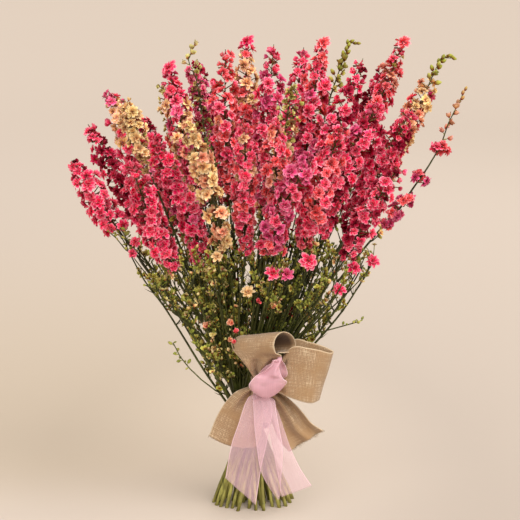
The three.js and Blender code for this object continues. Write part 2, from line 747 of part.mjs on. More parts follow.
/** A knot: an eight-cornered block that leans forwards with the stalks. */
function knotGeometry({ low, high, chamfer, back, depth }) {
  const [x0, z0] = low;
  const [x1, z1] = high;
  const outline = new THREE.Shape();
  outline.moveTo(x0 + chamfer, z0);
  outline.lineTo(x1 - chamfer, z0);
  outline.lineTo(x1, z0 + chamfer);
  outline.lineTo(x1, z1 - chamfer);
  outline.lineTo(x1 - chamfer, z1);
  outline.lineTo(x0 + chamfer, z1);
  outline.lineTo(x0, z1 - chamfer);
  outline.lineTo(x0, z0 + chamfer);
  outline.closePath();
  const geometry = new THREE.ExtrudeGeometry(outline, { depth, bevelEnabled: false });
  geometry.rotateX(Math.PI / 2);
  const position = geometry.attributes.position;
  for (let k = 0; k < position.count; k += 1) {
    const height = position.getZ(k);
    position.setY(k, position.getY(k) + back + KNOT_LEAN * (height - z0));
  }
  return welded(geometry);
}

/** A ribbon: a thin closed strip along its stations, gathered into pleats across its width. */
function ribbonGeometry(stations, thickness, columns) {
  const middles = stations.map(([x, y, z]) => vec(x, y, z));
  const halves = stations.map((row) => vec(row[3], row[4], row[5]));
  const points = [];
  const faces = [];
  const across = columns + 1;
  stations.forEach((row, k) => {
    const behind = middles[Math.max(k - 1, 0)];
    const ahead = middles[Math.min(k + 1, stations.length - 1)];
    const normal = ahead.clone().sub(behind).cross(halves[k]).normalize();
    for (const face of [0.5, -0.5]) {
      for (let c = 0; c < across; c += 1) {
        const pleat = row[6] * (c % 2 === 0 ? 1 : -1);
        const point = middles[k].clone().addScaledVector(halves[k], (2 * c) / columns - 1);
        points.push(point.addScaledVector(normal, pleat + face * thickness));
      }
    }
  });
  const at = (k, face, c) => (2 * k + face) * across + c;
  const quad = (a, b, c, d) => faces.push(a, b, c, a, c, d);
  for (let k = 0; k + 1 < stations.length; k += 1) {
    for (let c = 0; c < columns; c += 1) {
      quad(at(k, 0, c), at(k + 1, 0, c), at(k + 1, 0, c + 1), at(k, 0, c + 1));
      faces.push(at(k, 1, c), at(k + 1, 1, c + 1), at(k + 1, 1, c));
      faces.push(at(k, 1, c), at(k, 1, c + 1), at(k + 1, 1, c + 1));
    }
    quad(at(k, 0, 0), at(k, 1, 0), at(k + 1, 1, 0), at(k + 1, 0, 0));
    quad(at(k, 1, columns), at(k, 0, columns), at(k + 1, 0, columns), at(k + 1, 1, columns));
  }
  const last = stations.length - 1;
  for (let c = 0; c < columns; c += 1) {
    quad(at(0, 0, c), at(0, 0, c + 1), at(0, 1, c + 1), at(0, 1, c));
    quad(at(last, 0, c), at(last, 1, c), at(last, 1, c + 1), at(last, 0, c + 1));
  }
  return geometryOf(points, faces);
}

function bow() {
  const burlap = (name, stations) => {
    return named(name, ribbonGeometry(stations, BURLAP, PLEATS), COLOURS.burlap, 0.95);
  };
  const sheer = (name, stations) => {
    return named(name, ribbonGeometry(stations, SHEER, PLEATS), COLOURS.sheer, 0.5);
  };
  return [
    named("burlap_knot", knotGeometry(BURLAP_KNOT), COLOURS.burlap, 0.95),
    burlap("burlap_loop_left", BURLAP_LOOP_LEFT),
    burlap("burlap_loop_right", BURLAP_LOOP_RIGHT),
    burlap("burlap_tail_left", BURLAP_TAIL_LEFT),
    burlap("burlap_tail_right", BURLAP_TAIL_RIGHT),
    named("ribbon_knot", knotGeometry(RIBBON_KNOT), COLOURS.sheer, 0.5),
    sheer("ribbon_loop", RIBBON_LOOP),
    sheer("ribbon_tail_left", RIBBON_TAIL_LEFT),
    sheer("ribbon_tail_centre", RIBBON_TAIL_CENTRE),
    sheer("ribbon_tail_right", RIBBON_TAIL_RIGHT),
  ];
}

// ---- Assembly -------------------------------------------------------------------------------------
const waist = waistPoints();
const spikes = SPIKES.map((row, k) => makeSpike(row, waist[k]));
bendClear(spikes);

const bunch = new THREE.Group();
bunch.add(...heads(spikes));
bunch.add(...stemPairs(spikes));
bunch.add(twine(spikes), wrap(spikes));

const front = new THREE.Group();
front.add(...bow());
front.position.set(0, BOW_BACK, 0);
bunch.add(front);

// The origin is on the floor under the middle of the bunch's box
const box = new THREE.Box3().setFromObject(bunch);
const middle = box.getCenter(new THREE.Vector3());
bunch.position.set(-middle.x, -middle.y, -box.min.z);

export default bunch;
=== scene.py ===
"""A hand-tied bunch of larkspur with a burlap bow and a sheer ribbon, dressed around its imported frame.

Sizes in the classes are in millimetres where their names or comments say so, and everything that
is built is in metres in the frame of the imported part: +Z up, and the bow faces -Y.
"""

import logging
import math
from dataclasses import dataclass, field
from enum import Enum
from random import Random
from typing import Optional, Sequence

import bmesh
import bpy
import numpy as np
from bmesh.types import BMEdge, BMesh
from bpy.types import ID, Curve, Material, Mesh, Node, NodeSocket, Object
from mathutils import Matrix, Vector

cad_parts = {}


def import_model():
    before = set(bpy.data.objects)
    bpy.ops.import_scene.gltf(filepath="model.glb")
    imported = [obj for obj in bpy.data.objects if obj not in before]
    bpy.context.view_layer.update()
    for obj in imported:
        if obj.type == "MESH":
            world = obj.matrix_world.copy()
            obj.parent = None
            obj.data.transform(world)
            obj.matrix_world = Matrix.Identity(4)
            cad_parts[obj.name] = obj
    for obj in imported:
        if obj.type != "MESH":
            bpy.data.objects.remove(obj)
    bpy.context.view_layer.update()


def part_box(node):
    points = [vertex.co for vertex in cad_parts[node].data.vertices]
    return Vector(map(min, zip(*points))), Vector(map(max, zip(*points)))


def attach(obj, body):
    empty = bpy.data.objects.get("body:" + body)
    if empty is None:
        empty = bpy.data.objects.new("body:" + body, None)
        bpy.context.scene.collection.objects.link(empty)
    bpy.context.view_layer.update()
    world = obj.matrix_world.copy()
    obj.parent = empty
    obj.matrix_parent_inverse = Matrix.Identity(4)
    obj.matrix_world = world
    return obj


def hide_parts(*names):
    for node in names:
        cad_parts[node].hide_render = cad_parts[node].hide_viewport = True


LOG = logging.getLogger("larkspur")
MM = 0.001
UP = Vector((0, 0, 1))
GOLDEN_ANGLE = math.radians(137.508)
NEVER = -1e6  # a distance that two stalks never need to part by
Colour = tuple[float, float, float]
Point = tuple[float, float, float]


class Tone(Enum):
    """Colour of a petal, bud or leaf, in linear red, green and blue."""

    ROSE = (0.870, 0.040, 0.135)
    HOT = (0.820, 0.012, 0.105)
    DEEP = (0.330, 0.003, 0.030)
    CORAL = (0.860, 0.080, 0.090)
    MAUVE = (0.700, 0.060, 0.200)
    PEACH = (0.830, 0.340, 0.200)
    CREAM = (0.800, 0.540, 0.230)
    GREEN = (0.470, 0.450, 0.090)
    PALE = (0.720, 0.620, 0.260)
    DUSK = (0.105, 0.050, 0.020)
    # LEAF: the thread leaves' dark green, darkened further as painted shade deep in the foliage
    LEAF = (0.060, 0.088, 0.012)
    MOSS = (0.240, 0.270, 0.035)


class Crown(Enum):
    """How a spike ends."""

    POINT = "half-open florets that close up to a tip"
    BLOOM = "an open floret"
    SPRAY = "a loose spray of closed buds"
    WISP = "a few pale buds far apart"


@dataclass(frozen=True)
class SpikeRow:
    """One flower spike: its tip and head in millimetres, its tone and its other florets' tones.

    accents holds (from share, to share, tone, chance) along the head. clumps holds the shares of the
    head at which its florets sit in separate groups, where they don't cover it evenly. sway holds
    (share, right, up): how far the head strays from its course there, in millimetres. buds and
    opens are for a spray: its number of buds, and the share of the head up to which florets open.
    """

    tip: Point
    length: float
    radius: float
    tone: Tone
    nod: float = 0.0
    accents: tuple[tuple[float, float, Tone, float], ...] = ()
    crown: Crown = Crown.POINT
    clumps: tuple[float, ...] = ()
    sway: tuple[Point, ...] = ()
    bare: float = 0.0  # share of the head, from its seat, that has no florets
    buds: int = 17
    opens: float = 0.66


R, H, D, C = Tone.ROSE, Tone.HOT, Tone.DEEP, Tone.CORAL
M, P, Y, G = Tone.MAUVE, Tone.PEACH, Tone.CREAM, Tone.GREEN
SPIKES = (
    SpikeRow((-235, -30, 470), 150, 21, R, accents=((0.0, 1.0, H, 0.35), (0.8, 1.0, D, 0.5)), bare=0.22),
    SpikeRow(
        (-220, 70, 500), 185, 20, D,
        accents=((0.0, 1.0, H, 0.3), (0.8, 1.0, R, 0.6)), sway=((0.7, 0, 0), (1.0, -5, 4)),
    ),
    SpikeRow(
        (-190, 5, 555), 205, 20, R,
        accents=((0.0, 0.5, C, 0.4), (0.62, 0.9, Y, 0.8), (0.9, 1.0, M, 0.7)),
    ),
    SpikeRow((-155, 110, 510), 185, 20, D, accents=((0.0, 1.0, R, 0.3),)),
    SpikeRow((-155, -110, 480), 170, 23, H, accents=((0.0, 1.0, R, 0.55),)),
    SpikeRow((-165, -50, 550), 105, 15, Y, accents=((0.0, 0.5, G, 0.3), (0.72, 1.0, M, 0.3))),
    SpikeRow(
        (-125, -85, 510), 190, 20, H,
        accents=((0.0, 1.0, R, 0.4), (0.3, 1.0, M, 0.4), (0.0, 0.3, C, 0.4)),
    ),
    SpikeRow(
        (-85, -115, 530), 175, 18, Y,
        accents=((0.0, 1.0, P, 0.3), (0.0, 0.3, G, 0.2)),
        clumps=(0.03, 0.13, 0.29, 0.42, 0.55, 0.64, 0.73, 0.84, 0.94),
        sway=(
            (0.0, 20, 0), (0.15, 30, 0), (0.3, 28, 0), (0.45, 18, 0),
            (0.6, 12, 0), (0.75, 6, 0), (1.0, 0, 0),
        ),
    ),
    SpikeRow((-125, 60, 560), 190, 17, Y, accents=((0.6, 1.0, G, 0.7), (0.0, 0.6, C, 0.55))),
    SpikeRow((-80, 125, 585), 190, 20, D, accents=((0.0, 1.0, M, 0.45),)),
    SpikeRow(
        (-110, -15, 585), 190, 20, R,
        accents=((0.0, 0.75, Y, 0.3), (0.3, 1.0, M, 0.25)), crown=Crown.BLOOM,
    ),
    SpikeRow(
        (-85, 75, 605), 160, 14, G,
        accents=((0.0, 0.6, M, 0.35), (0.6, 1.0, M, 0.5)),
        crown=Crown.WISP,
        sway=((0.7, 0, 0), (0.85, -7.5, 0), (0.92, -2, 0), (1.0, 6, 0)),
        buds=6,
        opens=0.8,
    ),
    SpikeRow(
        (-45, -20, 600), 195, 21, C,
        accents=((0.0, 1.0, R, 0.45), (0.3, 0.6, P, 0.3)), sway=((0.5, 0, 0), (1.0, 7, 9)),
    ),
    SpikeRow(
        (-30, -110, 530), 185, 18, R,
        accents=((0.0, 1.0, C, 0.35), (0.5, 0.9, Y, 0.3)),
        sway=((0.0, 14, 0), (0.5, 17, 0), (1.0, 15, 0)),
    ),
    SpikeRow(
        (-15, 75, 605), 190, 20, C,
        accents=((0.55, 0.93, Y, 0.75), (0.93, 1.0, H, 0.9)),
        crown=Crown.BLOOM,
        sway=((0.7, 0, 0), (1.0, 3, 7)),
    ),
    SpikeRow((-15, 150, 565), 185, 20, D, accents=((0.0, 1.0, R, 0.3),)),
    SpikeRow(
        (20, 0, 605), 210, 21, R,
        accents=((0.0, 1.0, M, 0.25), (0.4, 1.0, H, 0.3)), sway=((0.6, 0, 0), (1.0, 3, 9)),
    ),
    SpikeRow(
        (15, -120, 535), 190, 21, C,
        accents=((0.0, 1.0, R, 0.4), (0.0, 1.0, P, 0.2)),
        sway=((0.0, 4, 0), (0.4, 11, 0), (1.0, 12, 0)),
    ),
    SpikeRow((60, 100, 595), 200, 20, R, accents=((0.0, 1.0, M, 0.35),), sway=((0.6, 0, 0), (1.0, 4, 8))),
    SpikeRow(
        (85, 15, 610), 210, 21, R,
        accents=((0.0, 1.0, C, 0.4), (0.3, 0.7, M, 0.3)),
        crown=Crown.BLOOM,
        sway=((0.6, 0, 0), (1.0, 1, 4)),
    ),
    SpikeRow((45, -60, 570), 140, 17, G, accents=((0.0, 0.6, Y, 0.5), (0.0, 0.5, P, 0.3))),
    SpikeRow(
        (55, -140, 495), 145, 22, M,
        accents=((0.0, 1.0, R, 0.4), (0.0, 0.5, C, 0.35)),
        sway=((0.2, 0, 0), (0.6, 8, 0), (1.0, 9, 0)),
    ),
    SpikeRow(
        (125, 70, 605), 160, 13, G,
        nod=14,
        accents=((0.0, 0.35, M, 0.5),),
        crown=Crown.SPRAY,
        sway=((0.7, 0, 0), (0.88, 2.5, 9.5), (0.93, 0, 11), (0.97, 8, 4.5), (1.0, 16.5, -3)),
        buds=22,
    ),
    SpikeRow(
        (125, -20, 585), 205, 22, H,
        accents=((0.0, 1.0, D, 0.25), (0.0, 1.0, R, 0.5)), sway=((0.6, 0, 0), (1.0, 11, 13)),
    ),
    SpikeRow((105, -110, 525), 175, 22, C, accents=((0.0, 1.0, R, 0.55),)),
    SpikeRow(
        (150, -75, 550), 195, 23, H,
        accents=((0.0, 1.0, D, 0.2), (0.0, 1.0, R, 0.45), (0.5, 0.9, M, 0.4)),
    ),
    SpikeRow(
        (185, 55, 605), 200, 17, R,
        accents=((0.55, 1.0, C, 0.4), (0.6, 0.9, P, 0.4), (0.75, 0.9, G, 0.3)),
        crown=Crown.BLOOM,
        sway=((0.5, 0, 0), (1.0, 8, 8)),
    ),
    SpikeRow((175, 120, 575), 185, 20, D, accents=((0.0, 1.0, R, 0.4),)),
    SpikeRow(
        (245, 10, 590), 200, 17, Y,
        nod=18,
        accents=((0.0, 1.0, P, 0.35), (0.0, 0.7, R, 0.45), (0.7, 0.84, M, 0.3)),
        crown=Crown.SPRAY,
        sway=(
            (0.3, 0, 0), (0.5, 8, 0), (0.75, 3, 0), (0.9, 0, 10),
            (0.95, 4.5, 13), (0.98, 8, 2.5), (1.0, 12, -4.5),
        ),
        buds=14,
        opens=0.82,
    ),
    SpikeRow(
        (260, -10, 555), 215, 14, C,
        nod=6,
        accents=((0.0, 0.5, M, 0.75), (0.5, 0.66, R, 0.5)),
        clumps=(0.08, 0.14, 0.24, 0.39, 0.58),
        crown=Crown.SPRAY,
        sway=(
            (0.0, 12, 0), (0.15, 19, 0), (0.3, 19, 0), (0.45, 22, 0),
            (0.6, 22, 0), (0.75, 13, 0), (1.0, 6, 0),
        ),
        buds=11,
    ),
    SpikeRow((195, -40, 535), 180, 21, R, accents=((0.0, 0.8, D, 0.2), (0.0, 1.0, H, 0.4))),
    SpikeRow(
        (180, -100, 475), 150, 18, R,
        accents=((0.0, 1.0, D, 0.3), (0.0, 0.6, G, 0.12)),
        sway=((0.0, 0, 0), (0.2, -3, 0), (0.5, -6, 0), (0.8, -4, 0), (1.0, 0, 0)),
    ),
)


# ---- Finishes ---------------------------------------------------------------------------------


class Bench:
    """A material's node tree, with short ways to lay its nodes."""

    def __init__(self, name: str) -> None:
        """Start a material with nothing but its shader.

        Args:
            name: Name of the material.
        """
        self.material = bpy.data.materials.new(name)
        self.material.use_nodes = True
        self.nodes = self.material.node_tree.nodes
        self.links = self.material.node_tree.links
        self.shader = next(n for n in self.nodes if n.type == "BSDF_PRINCIPLED")

    def node(self, kind: str, **settings: object) -> Node:
        """Add a node.

        Args:
            kind: Blender's type name of the node.
            **settings: Properties to set on it.

        Returns:
            The node.
        """
        made = self.nodes.new(kind)
        for key, value in settings.items():
            setattr(made, key, value)
        return made

    def join(self, source: object, socket: NodeSocket) -> None:
        """Link a socket to another one, or set a plain value on it.

        Args:
            source: Socket or plain value.
            socket: The input that takes it.
        """
        if isinstance(source, NodeSocket):
            self.links.new(source, socket)
        else:
            socket.default_value = source

    def math(self, operation: str, *values: object) -> NodeSocket:
        """Lay a Math node.

        Args:
            operation: Blender's name of the operation.
            *values: Sockets or numbers, in order.

        Returns:
            The result's socket.
        """
        made = self.node("ShaderNodeMath", operation=operation)
        for socket, value in zip(made.inputs, values):
            self.join(value, socket)
        return made.outputs[0]

    def ramp(self, value: object, low: float, high: float) -> NodeSocket:
        """Lay a smooth step of a value.

        Args:
            value: Socket or number.
            low: Where the step starts from 0.
            high: Where it reaches 1.

        Returns:
            The step's socket.
        """
        made = self.node("ShaderNodeMapRange", interpolation_type="SMOOTHSTEP")
        self.join(value, made.inputs[0])
        made.inputs[1].default_value = low
        made.inputs[2].default_value = high
        return made.outputs[0]

    def blend(self, share: object, first: object, second: object, way: str = "MIX") -> NodeSocket:
        """Mix two colours.

        Args:
            share: Socket or number for how much of the second one.
            first: Socket or colour.
            second: Socket or colour.
            way: Blender's name of the blend type.

        Returns:
            The colour's socket.
        """
        made = self.node("ShaderNodeMix", data_type="RGBA", blend_type=way)
        self.join(share, made.inputs[0])
        for value, socket in ((first, made.inputs[6]), (second, made.inputs[7])):
            self.join((*value, 1.0) if isinstance(value, tuple) else value, socket)
        return made.outputs[2]

    def noise(self, scale: float, detail: float, where: Optional[object] = None) -> NodeSocket:
        """Lay soft noise.

        Args:
            scale: How many lumps to a unit.
            detail: How many octaves.
            where: Socket of a vector, where that isn't Object coordinates.

        Returns:
            The noise's socket.
        """
        made = self.node("ShaderNodeTexNoise")
        made.inputs["Scale"].default_value = scale
        made.inputs["Detail"].default_value = detail
        self.join(where or self.place(), made.inputs["Vector"])
        return made.outputs["Fac"]

    def place(self) -> NodeSocket:
        """Object coordinates, which are the part's own metres."""
        return self.node("ShaderNodeTexCoord").outputs["Object"]

    def map(self, name: str) -> NodeSocket:
        """A UV map's coordinates."""
        return self.node("ShaderNodeUVMap", uv_map=name).outputs[0]

    def parts(self, vector: NodeSocket) -> Sequence[NodeSocket]:
        """Take a vector apart.

        Args:
            vector: Its socket.

        Returns:
            The sockets of its three numbers.
        """
        split = self.node("ShaderNodeSeparateXYZ")
        self.join(vector, split.inputs[0])
        return tuple(split.outputs)

    def stretched(self, scale: Point, where: Optional[object] = None) -> NodeSocket:
        """Stretch coordinates, so that what is laid on them gives streaks.

        Args:
            scale: Scale along each of them.
            where: Socket of a vector, where that isn't Object coordinates.

        Returns:
            The stretched vector's socket.
        """
        made = self.node("ShaderNodeMapping")
        self.join(where or self.place(), made.inputs[0])
        made.inputs["Scale"].default_value = scale
        return made.outputs[0]

    def grey(self, value: NodeSocket) -> NodeSocket:
        """Lay a grey.

        Args:
            value: Socket of how light it is.

        Returns:
            The colour's socket.
        """
        made = self.node("ShaderNodeCombineColor")
        for socket in made.inputs[:3]:
            self.join(value, socket)
        return made.outputs[0]

    def tint(self) -> NodeSocket:
        """The colour attribute that each copy of a small shape has."""
        return self.node("ShaderNodeAttribute", attribute_name="tint").outputs["Color"]

    def colour(self, source: object) -> None:
        """Give the shader its base colour."""
        self.join(source, self.shader.inputs["Base Color"])

    def bump(self, height: NodeSocket, strength: float, distance: float) -> None:
        """Give the shader a bump.

        Args:
            height: Socket of the relief.
            strength: Share of it that shows.
            distance: How deep it is, in metres.
        """
        made = self.node("ShaderNodeBump")
        made.inputs["Strength"].default_value = strength
        made.inputs["Distance"].default_value = distance
        self.join(height, made.inputs["Height"])
        self.join(made.outputs[0], self.shader.inputs["Normal"])

    def set(self, **values: object) -> None:
        """Set plain values on the shader, with underscores for the spaces in their names."""
        for key, value in values.items():
            self.shader.inputs[key.replace("_", " ")].default_value = value


@dataclass(frozen=True)
class PetalFinish:
    """Papery dried petals: deep at the base, partly by painted shade deep in the floret, paler and veined
    towards a bleached rim that is partly a painted highlight.
    """

    name: str
    # the rim: partly the dried petals' bleached edge, partly a painted highlight on their edges and tips
    rim: Colour = (0.98, 0.60, 0.68)
    rim_share: float = 0.80
    rim_along: tuple[float, float] = (0.66, 1.05)  # of the petal's length, over which the rim fades in
    rim_across: tuple[float, float] = (0.30, 0.52)  # of its width, likewise, from the middle outwards
    base: Colour = (0.42, 0.015, 0.03)  # what the tint is multiplied by at the petal's base: its deeper colour together with painted shade deep in the floret
    base_reach: float = 0.72
    darkest: float = 0.87  # of the petals, which differ by chance
    unevenness: float = 0.60  # how much lighter than that a petal may be
    vein_count: float = 34.0
    vein_depth: float = 0.12

    def material(self) -> Material:
        """Build the material from the petals' own colour attribute and UV map.

        Returns:
            The material.
        """
        bench = Bench(self.name)
        tint = bench.tint()
        numbered, along, _ = bench.parts(bench.map("petal_uv"))
        across = bench.math("FRACT", numbered)
        red = bench.node("ShaderNodeSeparateColor")
        bench.join(tint, red.inputs[0])
        light = bench.math("POWER", bench.math("MULTIPLY", red.outputs[0], 1.18), 2.0)
        lot = bench.node("ShaderNodeTexWhiteNoise", noise_dimensions="1D")
        bench.join(bench.math("FLOOR", numbered), lot.inputs["W"])
        shade = bench.math("MULTIPLY_ADD", lot.outputs["Value"], self.unevenness, self.darkest)
        from_middle = bench.math("ABSOLUTE", bench.math("SUBTRACT", across, 0.5))
        outer, sides = bench.ramp(along, *self.rim_along), bench.ramp(from_middle, *self.rim_across)
        # paler towards the tip and the sides: partly a bleached rim, partly a painted highlight
        rim = bench.math("MAXIMUM", outer, sides)
        mottle = bench.noise(260.0, 3.0)
        pale = bench.math("MULTIPLY", rim, bench.math("MULTIPLY_ADD", mottle, self.rim_share * 1.6, 0.04))
        pale = bench.math("MULTIPLY", pale, bench.math("MINIMUM", light, 1.1))
        # darker towards the base: partly the petal's own deeper colour, partly painted shade deep in the
        # floret
        deep = bench.blend(bench.ramp(along, 0.0, self.base_reach), self.base, (1.0, 1.0, 1.0))
        body = bench.blend(1.0, tint, deep, "MULTIPLY")
        vein = bench.math("SINE", bench.math("MULTIPLY", across, self.vein_count))
        veined = bench.math("MULTIPLY", bench.math("MULTIPLY_ADD", vein, self.vein_depth, 0.98), shade)
        body = bench.blend(1.0, body, bench.grey(veined), "MULTIPLY")
        bench.colour(bench.blend(pale, body, self.rim))
        bench.bump(bench.math("MULTIPLY_ADD", vein, 0.3, mottle), 0.35, 0.0006)
        bench.set(Roughness=0.75, Specular_IOR_Level=0.05)
        return bench.material


@dataclass(frozen=True)
class StemFinish:
    """Satin stems: yellow green at the cut feet and darker olive higher up, partly by painted shade inside
    the bunch, with fine streaks.
    """

    name: str
    foot: Colour = (0.460, 0.440, 0.110)
    # middle and top: partly the stems' own olive, partly painted shade inside the bunch, darkest at the top
    middle: Colour = (0.078, 0.090, 0.014)
    top: Colour = (0.040, 0.046, 0.007)
    light_streak: Colour = (0.130, 0.150, 0.034)
    dark_streak: Colour = (0.55, 0.52, 0.45)  # what the colour is multiplied by

    def material(self) -> Material:
        """Build the material from the height above the floor and streaky noise.

        Returns:
            The material.
        """
        bench = Bench(self.name)
        height = bench.parts(bench.place())[2]
        low = bench.blend(bench.ramp(height, 0.015, 0.12), self.foot, self.middle)
        # darker higher up: partly painted shade inside the bunch
        colour = bench.blend(bench.ramp(height, 0.15, 0.36), low, self.top)
        fine = bench.noise(420.0, 3.0, bench.stretched((1.0, 1.0, 0.12)))
        lit = bench.blend(bench.ramp(fine, 0.45, 0.75), colour, self.light_streak)
        broad = bench.noise(150.0, 1.0, bench.stretched((1.0, 1.0, 0.05)))
        bench.colour(bench.blend(bench.ramp(broad, 0.36, 0.64), lit, self.dark_streak, "MULTIPLY"))
        bench.bump(fine, 0.3, 0.0005)
        bench.set(Roughness=0.48, Specular_IOR_Level=0.4)
        return bench.material


@dataclass(frozen=True)
class FoliageFinish:
    """Thread leaves and buds, each with its own tint."""

    name: str
    fleck: Colour = (0.42, 0.42, 0.13)

    def material(self) -> Material:
        """Build the material from the pieces' colour attribute.

        Returns:
            The material.
        """
        bench = Bench(self.name)
        noise = bench.noise(300.0, 2.0)
        bench.colour(bench.blend(bench.ramp(noise, 0.42, 0.9), bench.tint(), self.fleck))
        bench.bump(noise, 0.25, 0.0005)
        bench.set(Roughness=0.55, Specular_IOR_Level=0.35)
        return bench.material


@dataclass(frozen=True)
class WeaveFinish:
    """Burlap: coarse yarns over and under each other, with slubs and small holes between them, edges that are
    lighter partly by painted highlight, and painted shade deep inside its loops.
    """

    name: str
    yarn: Colour = (0.480, 0.315, 0.182)
    shade: Colour = (0.150, 0.082, 0.034)
    slub: Colour = (0.760, 0.600, 0.400)
    patch: Colour = (0.400, 0.240, 0.115)
    dusk: Colour = (0.060, 0.022, 0.004)  # painted shade deep inside a loop
    pitch: float = 1.8 * MM
    hole: float = 0.22
    streaks: tuple[float, float] = (520.0, 26.0)  # of a yarn: how fine across it and along it

    def material(self) -> Material:
        """Build the material on the cloth's own UV map, which is in metres of flat cloth.

        Returns:
            The material.
        """
        bench = Bench(self.name)
        cloth = bench.map("cloth_uv")
        across, along, _ = bench.parts(cloth)
        turn = math.pi / self.pitch
        phases = [bench.math("MULTIPLY", bench.math("ADD", c, 1.0), turn) for c in (across, along)]
        signs = [bench.math("SINE", phase) for phase in phases]
        crowns = [bench.math("ABSOLUTE", sign) for sign in signs]
        over = bench.math("GREATER_THAN", bench.math("MULTIPLY", *signs), 0.0)
        under = bench.math("SUBTRACT", 1.0, over)
        shown = [bench.math("MULTIPLY", crown, share) for crown, share in zip(crowns, (over, under))]
        ground = bench.math("MAXIMUM", *crowns)
        sunk = bench.math("MULTIPLY", ground, 0.4)
        height = bench.math("MULTIPLY_ADD", bench.math("MAXIMUM", *shown), 0.6, sunk)
        fine, coarse = self.streaks
        warp = bench.noise(2.0, 3.0, bench.stretched((fine, coarse, 1.0), cloth))
        weft = bench.noise(2.0, 3.0, bench.stretched((coarse, fine, 1.0), cloth))
        streak = bench.math("MULTIPLY", bench.math("ADD", warp, weft), 0.5)
        colour = bench.blend(bench.ramp(height, 0.25, 0.75), self.shade, self.yarn)
        colour = bench.blend(bench.ramp(streak, 0.50, 0.66), colour, self.slub)
        colour = bench.blend(bench.ramp(bench.noise(38.0, 2.0), 0.35, 0.8), colour, self.patch)
        # the second number of share_uv is how much painted shade the row gets
        share, depth, _ = bench.parts(bench.map("share_uv"))
        from_edge = bench.math("SUBTRACT", 1.0, bench.math("ABSOLUTE", share))
        # lighter along both edges in the slub colour: partly the selvedge yarns, partly a painted highlight
        # on the lit edge
        selvedge_and_highlight = bench.math("SUBTRACT", 1.0, bench.ramp(from_edge, 0.015, 0.055))
        colour = bench.blend(bench.math("MULTIPLY", selvedge_and_highlight, 0.7), colour, self.slub)
        # painted shade deep inside a loop, fading out near the edges
        painted_shade_share = bench.math("MULTIPLY", bench.ramp(from_edge, 0.03, 0.30), depth)
        bench.colour(bench.blend(painted_shade_share, colour, self.dusk))
        bench.bump(height, 0.6, 0.0006)
        bench.join(bench.math("GREATER_THAN", ground, self.hole), bench.shader.inputs["Alpha"])
        bench.set(Roughness=0.92, Specular_IOR_Level=0.2, Sheen_Weight=0.25, Sheen_Roughness=0.6)
        return bench.material


@dataclass(frozen=True)
class SheerFinish:
    """Organza: a sheer pale pink weave with denser selvedges and a soft satin sheen."""

    name: str
    body: Colour = (0.940, 0.640, 0.735)
    edge: Colour = (0.960, 0.700, 0.760)
    sheen: Colour = (1.0, 0.80, 0.85)
    cover: float = 0.27
    cover_range: float = 0.16  # between thin and dense streaks
    edge_cover: float = 0.80
    selvedge: float = 0.045  # share of the half-width

    def material(self) -> Material:
        """Build the material on the cloth's own UV map, which is in metres of flat cloth.

        Returns:
            The material.
        """
        bench = Bench(self.name)
        share = bench.parts(bench.map("share_uv"))[0]
        from_edge = bench.math("SUBTRACT", 1.0, bench.math("ABSOLUTE", share))
        inside = bench.ramp(from_edge, self.selvedge * 0.7, self.selvedge * 1.4)
        edge = bench.math("SUBTRACT", 1.0, inside)
        thread = bench.noise(3.0, 2.0, bench.stretched((240.0, 9.0, 1.0), bench.map("cloth_uv")))
        thinnest = self.cover - self.cover_range / 2
        cover = bench.math("MULTIPLY_ADD", thread, self.cover_range, thinnest)
        alpha = bench.math("MAXIMUM", cover, bench.math("MULTIPLY", edge, self.edge_cover))
        bench.colour(bench.blend(bench.math("MULTIPLY", edge, 0.8), self.body, self.edge))
        bench.join(alpha, bench.shader.inputs["Alpha"])
        bench.bump(thread, 0.2, 0.0002)
        bench.set(Roughness=0.42, Specular_IOR_Level=0.45, Sheen_Weight=0.6, Sheen_Roughness=0.35)
        bench.set(Sheen_Tint=(*self.sheen, 1.0))
        return bench.material


@dataclass(frozen=True)
class TwineFinish:
    """Dull jute twine with fine fibre streaks."""

    name: str
    colour: Colour = (0.280, 0.190, 0.095)
    shade: Colour = (0.130, 0.080, 0.035)

    def material(self) -> Material:
        """Build the material from fine noise.

        Returns:
            The material.
        """
        bench = Bench(self.name)
        noise = bench.noise(900.0, 3.0)
        bench.colour(bench.blend(bench.ramp(noise, 0.3, 0.7), self.shade, self.colour))
        bench.bump(noise, 0.6, 0.0004)
        bench.set(Roughness=0.9, Specular_IOR_Level=0.2)
        return bench.material


